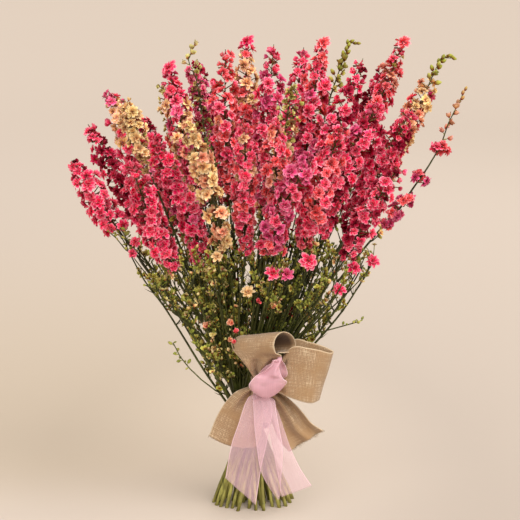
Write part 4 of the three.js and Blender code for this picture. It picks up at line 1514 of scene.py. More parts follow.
    def build(self) -> Object:
        """Build the head.

        Returns:
            Its object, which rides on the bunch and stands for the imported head.
        """
        row = self.row
        dice = Random(400 + self.number)
        pile = Pile()
        shares = [n / (self.stalk_rings - 1) for n in range(self.stalk_rings)]
        heights = [self.seat - 1 + (self.top - self.seat - 4) * share for share in shares]
        thick, thin = self.stalk_radii
        radii = [thick + (thin - thick) * share for share in shares]
        pile.tube([self.courses.strayed(self.number, h) for h in heights], radii, 1)
        turn = dice.uniform(0, math.tau)
        sprayed = row.crown in (Crown.SPRAY, Crown.WISP)
        for u in self._places(row.opens if sprayed else self.last_floret, dice):
            turn += GOLDEN_ANGLE + dice.uniform(-0.3, 0.3)
            self._floret(pile, min(max(u, 0.01), self.last_floret), turn, dice)
        if sprayed:
            self._spray(pile, dice)
        else:
            self._point(pile, dice)
        name, slot = f"florets_{self.number + 1:02d}", f"petals_{row.tone.name.lower()}"
        return pile.piece(name, (self.petals, self.stem, self.leaf), slot, f"head_{self.number + 1:02d}")


# ---- Stalks and foliage -----------------------------------------------------------------------


@dataclass
class Greenery:
    """Grows side sprigs, thread leaves and small buds from a stalk."""

    shapes: Shapes
    dice: Random
    keep_out: tuple[tuple[Vector, Vector], ...]  # in metres
    thread_radii: Point = (0.55, 0.45, 0.12)  # in millimetres, from root to tip
    sprig_radii: tuple[float, ...] = (0.95, 0.85, 0.7, 0.6, 0.4)  # in millimetres

    def free(self, point: Vector) -> bool:
        """Whether a point is clear of the bow and the tie."""
        return not any(all(low[n] < point[n] < high[n] for n in range(3)) for low, high in self.keep_out)

    def threads(self, pile: Pile, root: Vector, way: Vector, count: int, length: float) -> None:
        """Add a tuft of thread leaves.

        Args:
            pile: Where they go.
            root: Where the tuft leaves the stalk.
            way: Where it points.
            count: How many threads.
            length: Their length in millimetres.
        """
        for _ in range(count):
            lean = (way + stray(self.dice) * 0.55).normalized()
            long = length * self.dice.uniform(0.6, 1.1) * MM
            bend = UP * long * self.dice.uniform(0.05, 0.3)
            points = [root, root + lean * long * 0.5 + bend * 0.25, root + lean * long + bend]
            if self.free(points[1]) and self.free(points[2]):
                pile.tube(points, self.thread_radii, 0, 0)

    def sprig(
        self, pile: Pile, root: Vector, way: Vector, length: float, buds: int, tones: Sequence[Tone]
    ) -> None:
        """Add a side sprig with buds along its end.

        Args:
            pile: Where it goes.
            root: Where it leaves the stalk.
            way: Where it starts to point.
            length: Its length in millimetres.
            buds: How many buds.
            tones: Tones to pick from.
        """
        long = length * MM
        points = []
        for u in (0, 0.25, 0.5, 0.75, 1.0):
            points.append(root + way * long * u * (1 - 0.25 * u) + UP * long * 0.42 * u * u)
        if not all(self.free(point) for point in points):
            return
        pile.tube(points, self.sprig_radii, 0, 0)
        for n in range(buds):
            share = 0.45 + 0.55 * n / max(buds - 1, 1)
            at = between(points, share * 4)
            lean = (stray(self.dice) * 0.8 + UP * 0.7 + way * 0.4).normalized()
            tone = self.dice.choice(tones)
            tint = varied(tone.value, self.dice, 0.3)
            stalk = lean * self.dice.uniform(1.5, 4.5) * MM
            pile.add(self.shapes.pedicel, aimed(at, lean, 0.0, 0.8, stalk.length), Tone.MOSS.value, 1)
            green = tone in (Tone.MOSS, Tone.LEAF)
            if green or self.dice.random() < 0.45:
                shape = self.dice.choice((self.shapes.bud, self.shapes.pod))
                size = self.dice.uniform(0.75, 1.25)
            else:
                shape = self.dice.choice(self.shapes.cups)
                size = self.dice.uniform(0.6, 1.05)
            place = aimed(at + stalk, lean, self.dice.uniform(0, math.tau), size)
            pile.add(shape, place, tint, 1 if green else 2)


@dataclass
class StemPair:
    """Two stalks that the tie presses together, with their sprigs and leaves."""

    number: int
    courses: Courses
    greenery: Greenery
    materials: tuple[Material, ...]
    foot_radius: float = 2.35
    top_radius: float = 1.35
    below_floor: float = 6.0  # how far a stalk goes on below the floor before it is cut
    rings: int = 26
    sprigs: int = 8
    tufts: int = 6
    splay: float = 0.15  # further spread of the feet, as a share of their distance from splay_middle
    splay_middle: float = -14.0
    foot_shift: float = -3.0
    splay_top: float = 90.0  # height from which the feet spread further
    tones: tuple[Tone, ...] = (Tone.MOSS, Tone.MOSS, Tone.GREEN, Tone.GREEN, Tone.PALE, Tone.CREAM)

    def __post_init__(self) -> None:
        """Start the pair's pile and its source of chance."""
        self.pile, self.dice = Pile(), Random(700 + self.number)

    def _side(self, k: int, height: float, rise: float) -> tuple[Vector, Vector]:
        """Find a place for what grows from a stalk.

        Args:
            k: Number of the stalk.
            height: Its height in millimetres.
            rise: How much it points along the stalk.

        Returns:
            The point and the direction out of the stalk there.
        """
        at, along, side, depth = self.courses.frame(k, height)
        out = around(side, depth, self.dice.uniform(0, math.tau))
        return at, (out + along * rise).normalized()

    def _stalk(self, k: int) -> None:
        """Add one stalk with its foliage.

        Args:
            k: Its number.
        """
        dice, seat = self.dice, self.courses.seats[k]
        shares = [n / (self.rings - 1) for n in range(self.rings)]
        heights = [(seat + self.below_floor) * share - self.below_floor for share in shares]
        points = [self.courses.strayed(k, height) for height in heights]
        for point, height in zip(points, heights):
            splay = (point.x / MM - self.splay_middle) * self.splay + self.foot_shift
            point.x += splay * max(0.0, 1 - height / self.splay_top) * MM
        taper = self.top_radius - self.foot_radius
        self.pile.tube(points, [self.foot_radius + taper * share**0.7 for share in shares], 0, 2)
        for n in range(self.tufts):
            at, way = self._side(k, 150 + (seat - 160) * (n + dice.random()) / self.tufts, 0.9)
            self.greenery.threads(self.pile, at, way, dice.randint(2, 4), dice.uniform(9, 20))
        for n in range(self.sprigs):
            at, way = self._side(k, 160 + (seat - 168) * (n + dice.random()) / self.sprigs, 0.8)
            self.greenery.sprig(self.pile, at, way, dice.uniform(16, 40), dice.randint(4, 8), self.tones)

    def build(self) -> Object:
        """Build both stalks.

        Returns:
            Their object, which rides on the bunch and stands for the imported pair.
        """
        for k in (2 * self.number, 2 * self.number + 1):
            self._stalk(k)
        name, node = f"stalks_{self.number + 1:02d}", f"stem_pair_{self.number + 1:02d}"
        return self.pile.piece(name, self.materials, "stem_green", node, cut_floor=True)


@dataclass(frozen=True)
class Thicket:
    """A part of the bunch that thin stalks fill with their tips: a box in millimetres."""

    low: Point
    high: Point
    count: int
    tones: tuple[Tone, ...]
    sprigs: int = 4
    buds: tuple[int, int] = (4, 8)


@dataclass
class Fillers:
    """Thinner stalks between the main ones, which end in sprigs below and between the heads."""

    courses: Courses
    greenery: Greenery
    materials: tuple[Material, ...]
    thickets: tuple[Thicket, ...] = (
        Thicket(
            (-135, -95, 270), (-35, 0, 350), 16,
            (Tone.MOSS, Tone.GREEN, Tone.GREEN, Tone.PALE), 6, (6, 10),
        ),
        Thicket((25, -85, 272), (115, 10, 345), 14, (Tone.MOSS, Tone.GREEN, Tone.MOSS), 6, (5, 9)),
        Thicket((-45, -70, 262), (35, 20, 330), 9, (Tone.MOSS, Tone.GREEN, Tone.CREAM), 3, (3, 6)),
        Thicket((-110, 10, 270), (110, 100, 380), 22, (Tone.MOSS, Tone.LEAF, Tone.LEAF), 4, (4, 8)),
        Thicket((-60, -10, 300), (80, 60, 400), 14, (Tone.LEAF, Tone.LEAF, Tone.MOSS), 3, (4, 8)),
        Thicket(
            (-95, -40, 380), (-10, 40, 490), 11,
            (Tone.LEAF, Tone.GREEN, Tone.LEAF, Tone.DEEP), 6, (5, 9),
        ),
        Thicket((10, -40, 370), (130, 40, 480), 11, (Tone.LEAF, Tone.DEEP, Tone.LEAF, Tone.MOSS), 6, (5, 9)),
    )
    # stalks that arch out beyond the main ones: their points in millimetres
    outer: tuple[tuple[Point, ...], ...] = (
        (
            (-24, -12, 118), (-39, -18, 143), (-68, -20, 187), (-98, -20, 238),
            (-120, -20, 274), (-145, -20, 309), (-170, -24, 361),
        ),
        (
            (-20, 0, 118), (-34, 5, 143), (-60, 10, 187), (-90, 15, 238),
            (-113, 20, 274), (-137, 25, 309), (-158, 30, 350),
        ),
        (
            (-18, -18, 118), (-30, -26, 143), (-54, -34, 187), (-80, -42, 238),
            (-100, -48, 274), (-118, -52, 305), (-132, -56, 340),
        ),
        ((-25, 6, 116), (-42, 10, 150), (-72, 12, 200), (-100, 10, 250), (-126, 8, 290), (-150, 6, 325)),
        (
            (-20, -16, 116), (-36, -24, 150), (-62, -30, 200),
            (-86, -38, 246), (-106, -44, 282), (-124, -50, 318),
        ),
        (
            (6, 8, 118), (34, 12, 160), (68, 10, 204), (94, 4, 236),
            (116, 0, 266), (136, -4, 300), (152, -8, 330),
        ),
        (
            (4, 0, 118), (28, -4, 160), (58, -14, 206), (82, -24, 240),
            (104, -32, 274), (120, -38, 306), (132, -42, 330),
        ),
        ((6, 16, 118), (36, 24, 160), (70, 30, 206), (98, 32, 244), (122, 34, 280), (142, 34, 316)),
    )
    outer_tones: tuple[Tone, ...] = (Tone.MOSS, Tone.GREEN, Tone.GREEN, Tone.MOSS, Tone.PALE)
    outer_sprigs: int = 14
    start: float = 122.0  # height at which the thin stalks come out from under the tie
    bend_start: float = 205.0  # height above which they leave their neighbours' course
    points: int = 20
    tufts: int = 7

    def path(self, aim: Vector) -> list[Vector]:
        """A thin stalk's points, from under the tie to the point that its tip is to reach.

        Args:
            aim: Where the tip is to be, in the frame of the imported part.

        Returns:
            The points: a course between two neighbouring spikes' that bends to the aim.
        """
        height = aim.z / MM
        near = sorted(range(len(SPIKES)), key=lambda k: (self.courses.middle(k, height) - aim).length)[:2]
        first, second = (self.courses.middle(k, height) for k in near)
        apart = second - first
        share = min(max((aim - first).dot(apart) / apart.length_squared, 0.25), 0.75)
        miss = aim - first.lerp(second, share)
        points = []
        for n in range(self.points):
            at = self.start + (height - self.start) * n / (self.points - 1)
            rise = max(0.0, (at - self.bend_start) / (height - self.bend_start))
            base = self.courses.middle(near[0], at).lerp(self.courses.middle(near[1], at), share)
            points.append(base + miss * rise * rise * (3 - 2 * rise))
        return points

    def _filler(self, pile: Pile, thicket: Thicket, dice: Random) -> None:
        """Add one thin stalk to a thicket.

        Args:
            pile: Where it goes.
            thicket: Where its tip is to be.
            dice: Source of chance.
        """
        tip = Vector([dice.uniform(low, high) for low, high in zip(thicket.low, thicket.high)])
        points = self.path(tip * MM + self.courses.shift)
        last = self.points - 1
        pile.tube(points, [2.1 - 1.4 * n / last for n in range(self.points)], 0, 1)
        for _ in range(self.tufts):
            root, way = points[dice.randint(3, last - 1)], strewn(dice, 0.9)
            self.greenery.threads(pile, root, way, dice.randint(2, 5), dice.uniform(10, 22))
        for _ in range(thicket.sprigs):
            root, way = points[dice.randint(4, last - 1)], strewn(dice, 1.0)
            long, buds = dice.uniform(16, 34), dice.randint(*thicket.buds)
            self.greenery.sprig(pile, root, way, long, buds, thicket.tones)
        self.greenery.sprig(pile, points[-1], (points[-1] - points[-2]).normalized(), 26, 8, thicket.tones)

    def _arch(self, pile: Pile, path: Sequence[Point], dice: Random) -> None:
        """Add one stalk that arches out beyond the main ones, with sprigs all along its upper part.

        Args:
            pile: Where it goes.
            path: Its points in millimetres.
            dice: Source of chance.
        """
        ends = [Vector(point) * MM + self.courses.shift for point in path]
        points = []
        for n in range(4 * len(ends) - 3):
            low = min(n // 4, len(ends) - 2)
            before, after = ends[max(low - 1, 0)], ends[min(low + 2, len(ends) - 1)]
            first, last, t = ends[low], ends[low + 1], n / 4 - low
            bend = (last - before) * 0.5 * (t - 2 * t * t + t**3) + (after - first) * 0.5 * (t**3 - t * t)
            points.append(first * (1 - 3 * t * t + 2 * t**3) + last * (3 * t * t - 2 * t**3) + bend)
        pile.tube(points, [1.9 - 1.1 * n / len(points) for n in range(len(points))], 0, 1)
        for _ in range(self.outer_sprigs):
            root, way = points[dice.randint(5, len(points) - 1)], strewn(dice, 0.8)
            long, buds = dice.uniform(9, 26), dice.randint(3, 7)
            self.greenery.sprig(pile, root, way, long, buds, self.outer_tones)
            self.greenery.threads(pile, root, way, 2, dice.uniform(8, 16))

    def build(self) -> list[Object]:
        """Build the thin stalks, thicket by thicket, and then the arching ones.

        Returns:
            Their objects, which ride on the bunch.
        """
        made = []
        for number, thicket in enumerate(self.thickets):
            pile, dice = Pile(), Random(50 + number)
            for _ in range(thicket.count):
                self._filler(pile, thicket, dice)
            made.append(pile.piece(f"thin_stalks_{number + 1}", self.materials, "stem_green", cut_floor=True))
        pile, dice = Pile(), Random(49)
        for path in self.outer:
            self._arch(pile, path, dice)
        return [*made, pile.piece("outer_stalks", self.materials, "stem_green")]


@dataclass
class StalkEnds:
    """Cut ends of the thin stalks below the tie, which fill the gaps between the main stalks' feet.

    Sizes are in millimetres.
    """

    courses: Courses
    material: Material
    count: int = 30
    tries: int = 60  # places from which each foot takes the one that is furthest from the others
    middle: tuple[float, float] = (-5.0, 2.0)
    half_size: tuple[float, float] = (57.0, 43.0)
    waist_share: float = 0.22  # of a foot's distance from the middle, for where it passes the tie
    bow_share: float = 0.07  # of a foot's distance from the middle, by which its stalk bows inwards
    top: float = 112.0
    below_floor: float = 6.0
    radius: float = 2.4
    steps: int = 6

    def _foot(self, feet: Sequence[Vector], dice: Random) -> Vector:
        """Find a place on the floor that is far from the other feet.

        Args:
            feet: The other feet, in millimetres.
            dice: Source of chance.

        Returns:
            The place, in millimetres.
        """
        tries = []
        for _ in range(self.tries):
            turn, reach = dice.uniform(0, math.tau), math.sqrt(dice.random())
            x = self.middle[0] + self.half_size[0] * reach * math.cos(turn)
            y = self.middle[1] + self.half_size[1] * reach * math.sin(turn)
            tries.append(Vector((x, y, 0.0)))
        return max(tries, key=lambda place: min((place - other).length for other in feet))

    def build(self) -> Object:
        """Build the ends, each where the floor between the other feet is widest.

        Returns:
            Their object, which rides on the bunch.
        """
        pile, dice = Pile(), Random(61)
        shift = self.courses.shift / MM
        feet = [self.courses.middle(k, 0.0) / MM - shift for k in range(len(SPIKES))]
        for _ in range(self.count):
            foot = self._foot(feet, dice)
            feet.append(foot)
            high = Vector((-8 + (foot.x + 2) * self.waist_share, foot.y * self.waist_share * 1.5, self.top))
            points = [foot.lerp(high, n / self.steps) for n in range(self.steps + 1)]
            for n, point in enumerate(points):
                bow = math.sin(math.pi * n / self.steps) * self.bow_share
                point.x -= foot.x * bow
                point.y -= foot.y * bow
            points[0].z = -self.below_floor
            size = self.radius * dice.uniform(0.85, 1.1)
            pile.tube([(point + shift) * MM for point in points], [size] * len(points), 0, 2)
        return pile.piece("stalk_ends", (self.material,), "stem_green", cut_floor=True)


@dataclass
class SideTwigs:
    """Lone twigs with a few buds that stand out from the bunch above the bow."""

    courses: Courses
    shapes: Shapes
    materials: tuple[Material, ...]
    # for each twig: its points from the stalks outwards, in millimetres, and its number of buds
    twigs: tuple[tuple[tuple[Point, ...], int], ...] = (
        (
            (
                (-34, -14, 150), (-52, -24, 160), (-71, -30, 177),
                (-86, -33, 193), (-98, -34, 209), (-107, -35, 228),
            ),
            10,
        ),
        (((-37, -16, 176), (-47, -24, 186), (-57, -28, 194), (-64, -29, 197)), 4),
        (((52, -40, 232), (74, -46, 243), (98, -48, 250), (124, -50, 258), (136, -50, 262)), 8),
        (((60, -40, 254), (78, -46, 270), (98, -48, 290), (108, -50, 306)), 5),
        (((-70, -26, 262), (-98, -34, 282), (-122, -40, 296), (-140, -44, 306)), 7),
        (
            (
                (-104, -24, 292), (-126, -28, 318), (-147, -32, 338),
                (-166, -36, 351), (-178, -38, 367), (-186, -38, 374),
            ),
            7,
        ),
        (((-126, -28, 318), (-150, -32, 345), (-163, -34, 362), (-173, -36, 380)), 5),
    )
    bud_start: float = 0.62  # share of the twig from which it has buds

    def build(self) -> Object:
        """Build the twigs.

        Returns:
            Their object, which rides on the bunch.
        """
        pile, dice = Pile(), Random(41)
        for path, buds in self.twigs:
            points = [Vector(point) * MM + self.courses.shift for point in path]
            pile.tube(points, [1.1 - 0.5 * n / len(points) for n in range(len(points))], 0, 1)
            for n in range(buds):
                share = self.bud_start + (1 - self.bud_start) * n / (buds - 1)
                at = between(points, (len(points) - 1) * share)
                aside = (dice.uniform(-1, 1), dice.uniform(-1, 1))
                way = Vector((*aside, dice.uniform(-0.2, 1.0))).normalized()
                stalk = way * dice.uniform(1.0, 3.5) * MM
                pile.add(self.shapes.pedicel, aimed(at, way, 0.0, 0.8, stalk.length), Tone.MOSS.value, 1)
                shape = dice.choice((self.shapes.bud, self.shapes.pod, self.shapes.pod))
                tint = varied(dice.choice((Tone.MOSS, Tone.GREEN)).value, dice, 0.25)
                place = aimed(at + stalk, way, dice.uniform(0, math.tau), dice.uniform(0.9, 1.35))
                pile.add(shape, place, tint, 1)
        return pile.piece("side_twigs", self.materials, "stem_green")


@dataclass
class SideBlooms:
    """Single florets on thin side stalks below the heads."""

    fillers: Fillers
    shapes: Shapes
    petals: dict[str, Material]
    closed_tones: tuple[Tone, ...] = (Tone.PEACH, Tone.CORAL, Tone.PALE)
    bare_points: int = 4  # of a side stalk's points, which lie inside the bunch and are left out
    # x, y, z in millimetres, tone, and size
    places: tuple[tuple[float, float, float, Tone, float], ...] = (
        (21, -88, 332, Tone.ROSE, 1.1), (38, -90, 331, Tone.MAUVE, 1.1), (66, -86, 347, Tone.ROSE, 1.3),
        (124, -62, 333, Tone.HOT, 1.05), (148, -50, 339, Tone.ROSE, 0.95), (105, -66, 306, Tone.HOT, 0.95),
        (-31, -72, 263, Tone.PEACH, 0.95), (-26, -74, 252, Tone.CORAL, 0.85),
        (-35, -72, 241, Tone.PEACH, 0.9), (-29, -74, 238, Tone.CORAL, 0.75),
        (-62, -64, 257, Tone.PEACH, 0.9), (-53, -66, 245, Tone.PALE, 0.9),
        (-10, -72, 304, Tone.CREAM, 0.95), (3, -66, 290, Tone.CORAL, 0.8), (22, -68, 283, Tone.PEACH, 0.8),
        (-36, -84, 372, Tone.CREAM, 0.95), (-48, -86, 353, Tone.CREAM, 0.85),
        (-153, -40, 362, Tone.ROSE, 0.8), (-157, -44, 348, Tone.ROSE, 0.75),
    )

    def build(self) -> list[Object]:
        """Build the side florets, one piece for each tone.

        Returns:
            Their objects, which ride on the bunch.
        """
        dice = Random(77)
        piles: dict[Tone, Pile] = {}
        for x, y, z, tone, size in self.places:
            pile = piles.setdefault(tone, Pile())
            aim = Vector((x, y, z)) * MM + self.fillers.courses.shift
            points = self.fillers.path(aim - Vector((0, -6, 5)) * MM)[self.bare_points :]
            pile.tube([*points, aim], [1.25 - 0.04 * n for n in range(len(points) + 1)], 1, 0)
            way = Vector((dice.uniform(-0.5, 0.5), -0.8, dice.uniform(0.4, 1.0))).normalized()
            shape = dice.choice(self.shapes.closed if tone in self.closed_tones else self.shapes.doubles)
            place = aimed(aim, way, dice.uniform(0, math.tau), size)
            pile.add(shape, place, varied(tone.value, dice, 0.12), 0)
        made = []
        for tone, pile in piles.items():
            name = tone.name.lower()
            slot = name if name in self.petals else "cream"
            finishes = (self.petals[slot], self.fillers.materials[0])
            made.append(pile.piece(f"side_florets_{name}", finishes, f"petals_{slot}"))
        return made


# ---- Cloth: the wrap and the bow ----------------------------------------------------------------

# A row of a ribbon's course, in millimetres: its middle x, y, z, its half-width x, y, z and, where
# its middle hangs lower than its ends, how much lower. An eighth number is how deep in shade it lies.
Row = tuple[float, ...]


@dataclass
class Ribbon:
    """A length of ribbon along a course, gathered into folds where it is narrower than it was woven."""

    name: str
    node: str
    rows: Sequence[Row]
    width: float  # woven width in millimetres
    slot: str
    held: str
    rests_on: tuple[str, ...]
    folds: float = 3.0
    deepest: float = 3.2  # of a fold, in millimetres
    thickness: float = 0.9
    columns: int = 32
    steps: int = 7
    wave: float = 0.8  # slow waves over the open cloth, in millimetres
    smooth_from: float = 0.86  # share of the woven width above which there are no folds
    closed: bool = False
    seed: int = 1

    def _course(self) -> np.ndarray:
        """The rows, made smooth: a Catmull-Rom curve through all numbers of each row.

        Returns:
            The smooth rows, of eight numbers each.
        """
        rows = np.array([(*row, *(0.0,) * (8 - len(row))) for row in self.rows], float)
        if self.closed:
            padded = np.vstack([rows[-1], rows, rows[0], rows[1]])
        else:
            padded = np.vstack([2 * rows[0] - rows[1], rows, 2 * rows[-1] - rows[-2]])
        out = []
        for k in range(len(padded) - 3):
            a, b, c, d = padded[k : k + 4]
            for n in range(self.steps):
                t = n / self.steps
                bend = (2 * a - 5 * b + 4 * c - d) * t * t + (3 * b - a - 3 * c + d) * t**3
                out.append(0.5 * (2 * b + (c - a) * t + bend))
        return np.array([*out, padded[-2]])

    def _folded(self, half: float, phase: float) -> np.ndarray:
        """Depth of the folds across the cloth, so that the cloth keeps its woven width.

        Args:
            half: Half of the width that it takes up here.
            phase: Phase of the folds.

        Returns:
            The depth at each column.
        """
        c = np.linspace(-1, 1, self.columns + 1)
        wave = np.cos(math.pi * self.folds * (c + 1) + phase) * (0.75 + 0.25 * np.cos(5.3 * c + 2 * phase))
        open_share = 2 * half / self.width
        wanted = self.width if open_share < self.smooth_from else 2 * half
        low, high = 0.0, self.deepest * min(1.0, max(0.0, (self.smooth_from - open_share) / 0.15))
        for _ in range(12):
            depth = (low + high) / 2
            length = np.hypot(np.diff(c) * half, np.diff(wave) * depth).sum()
            if length < wanted:
                low = depth
            else:
                high = depth
        return wave * (low + high) / 2

    def build(self, shift: Vector, material: Material) -> Object:
        """Build the ribbon.

        Args:
            shift: From the rows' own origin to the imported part's frame, in metres.
            material: Its finish.

        Returns:
            Its object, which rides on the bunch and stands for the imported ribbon.
        """
        course = self._course()
        middles, halves, sags = course[:, :3], course[:, 3:6], course[:, 6]
        ahead = np.gradient(middles, axis=0)
        normals = np.cross(ahead, halves)
        normals /= np.maximum(np.linalg.norm(normals, axis=1, keepdims=True), 1e-9)
        run = np.concatenate([[0.0], np.cumsum(np.linalg.norm(np.diff(middles, axis=0), axis=1))])
        c = np.linspace(-1, 1, self.columns + 1)
        dice = Random(self.seed)
        first, second = dice.uniform(0, math.tau), dice.uniform(0, math.tau)
        bm = bmesh.new()
        uv = bm.loops.layers.uv.new("cloth_uv")
        share_uv = bm.loops.layers.uv.new("share_uv")
        rows = len(course) - 1
        bmesh.ops.create_grid(bm, x_segments=self.columns, y_segments=rows, size=0.5, calc_uvs=False)
        places = {}
        for vert in bm.verts:
            places[vert] = (round((vert.co.x + 0.5) * self.columns), round((vert.co.y + 0.5) * rows))
        depths, arcs = [], []
        for row in range(len(course)):
            half = float(np.linalg.norm(halves[row]))
            fold = self._folded(half, first + run[row] * 0.006)
            open_share = min(1.0, half / (self.width / 2))
            slow = np.sin(run[row] * 0.11 + first + 2.4 * c) * np.cos(run[row] * 0.05 + second - 1.7 * c)
            depths.append(fold + slow * self.wave * open_share)
            steps = np.hypot(np.diff(c) * half, np.diff(depths[-1]))
            arc = np.concatenate([[0.0], np.cumsum(steps)])
            arcs.append(arc - arc[-1] / 2)
        for vert, (column, row) in places.items():
            at = middles[row] + halves[row] * c[column] + normals[row] * depths[row][column]
            at[2] -= sags[row] * (1 - c[column] ** 2)
            vert.co = Vector(at) * MM + shift
        for face in bm.faces:
            face.smooth = True
            for loop in face.loops:
                column, row = places[loop.vert]
                loop[uv].uv = (arcs[row][column] * MM, run[row] * MM)
                # the second number carries the row's eighth number: its painted shade
                loop[share_uv].uv = (c[column], course[row, 7])
        if self.closed:
            bmesh.ops.remove_doubles(bm, verts=bm.verts, dist=1e-6)
        mesh = finished_mesh(bm, self.name)
        mesh.materials.append(material)
        made = linked(self.name, mesh)
        solid = made.modifiers.new("cloth", "SOLIDIFY")
        solid.thickness = self.thickness * MM
        solid.offset = 0.0
        solid.use_even_offset = False
        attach(made, "root")
        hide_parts(self.node)
        return made


@dataclass
class Tie:
    """The twine round the waist and the band of burlap over it."""

    courses: Courses
    twine_z: float = 121.0
    twine_radius: float = 0.62
    twine_out: float = 1.35  # from the stalks to the middle of the twine
    twine_pitch: float = 6.0
    strand_out: float = 0.55  # from the middle of the twine to a strand's
    turn_steps: int = 10  # points for each turn of a strand
    wrap_z: float = 124.0
    wrap_tilt: float = 14.0
    wrap_half: float = 19.0
    wrap_out: float = 4.2
    wrap_width: float = 56.0
    wrap_rows: int = 24
    narrowing_steps: int = 120

    def _circle(self, height: float) -> tuple[Vector, float]:
        """The narrowest circle round the stalks.

        Args:
            height: Height in millimetres.

        Returns:
            Its middle and its radius, in millimetres.
        """
        stalks = []
        for k in range(len(SPIKES)):
            stalks.append((self.courses.middle(k, height) / MM, self.courses.room(k, height)))
        middle = stalks[0][0].copy()

        def reach(stalk: tuple[Vector, float]) -> float:
            """How far a stalk reaches from the middle."""
            return (stalk[0] - middle).length + stalk[1]

        for step in range(1, self.narrowing_steps + 1):
            middle = middle.lerp(max(stalks, key=reach)[0], 1 / (step + 1))
        return middle, max(reach(stalk) for stalk in stalks)

    def _twine(self, material: Material) -> Object:
        """Build the twine: two strands laid round each other.

        Args:
            material: Its finish.

        Returns:
            Its object.
        """
        middle, radius = self._circle(self.twine_z)
        radius += self.twine_out
        pile = Pile()
        turns = round(math.tau * radius / self.twine_pitch)
        count = turns * self.turn_steps
        for strand in range(2):
            points = []
            for n in range(count + 1):
                angle = math.tau * n / count
                lay = turns * angle + math.pi * strand
                out = radius + self.strand_out * math.cos(lay)
                rise = self.strand_out * math.sin(lay)
                points.append((middle + Vector((out * math.cos(angle), out * math.sin(angle), rise))) * MM)
            pile.tube(points, [self.twine_radius] * len(points), 0, 1)
        return pile.piece("twine", (material,), "twine", "binding_twine")

    def _rows(self) -> list[Row]:
        """The band's rows: a leaning ring between the circles round the stalks at its two edges.

        Returns:
            The rows.
        """
        heights = (self.wrap_z - self.wrap_half, self.wrap_z + self.wrap_half)
        (low_middle, low_radius), (high_middle, high_radius) = (self._circle(height) for height in heights)
        rows = []
        for n in range(self.wrap_rows):
            angle = math.tau * n / self.wrap_rows + math.pi / 2
            tilt = -self.wrap_tilt * math.sin(angle)
            share = tilt / (2 * self.wrap_half)
            ends = []
            for height, middle, radius in zip(heights, (low_middle, high_middle), (low_radius, high_radius)):
                out = radius + (high_radius - low_radius) * share + self.wrap_out
                centre = middle + (high_middle - low_middle) * share
                x, y = centre.x + out * math.cos(angle), centre.y + out * math.sin(angle)
                ends.append(Vector((x, y, height + tilt)))
            rows.append((*((ends[0] + ends[1]) / 2), *((ends[1] - ends[0]) / 2)))
        return rows

    def build(self, burlap: Material, twine: Material) -> list[Object]:
        """Build the twine and the band.

        Args:
            burlap: Finish of the band.
            twine: Finish of the twine.

        Returns:
            Both objects.
        """
        band = Ribbon(
            "burlap_band", "burlap_wrap", self._rows(), self.wrap_width, "burlap", "gathered", ("twine",),
            folds=3.5, deepest=1.6, steps=5, wave=0.5, closed=True, seed=7,
        )
        return [self._twine(twine), band.build(Vector(), burlap)]


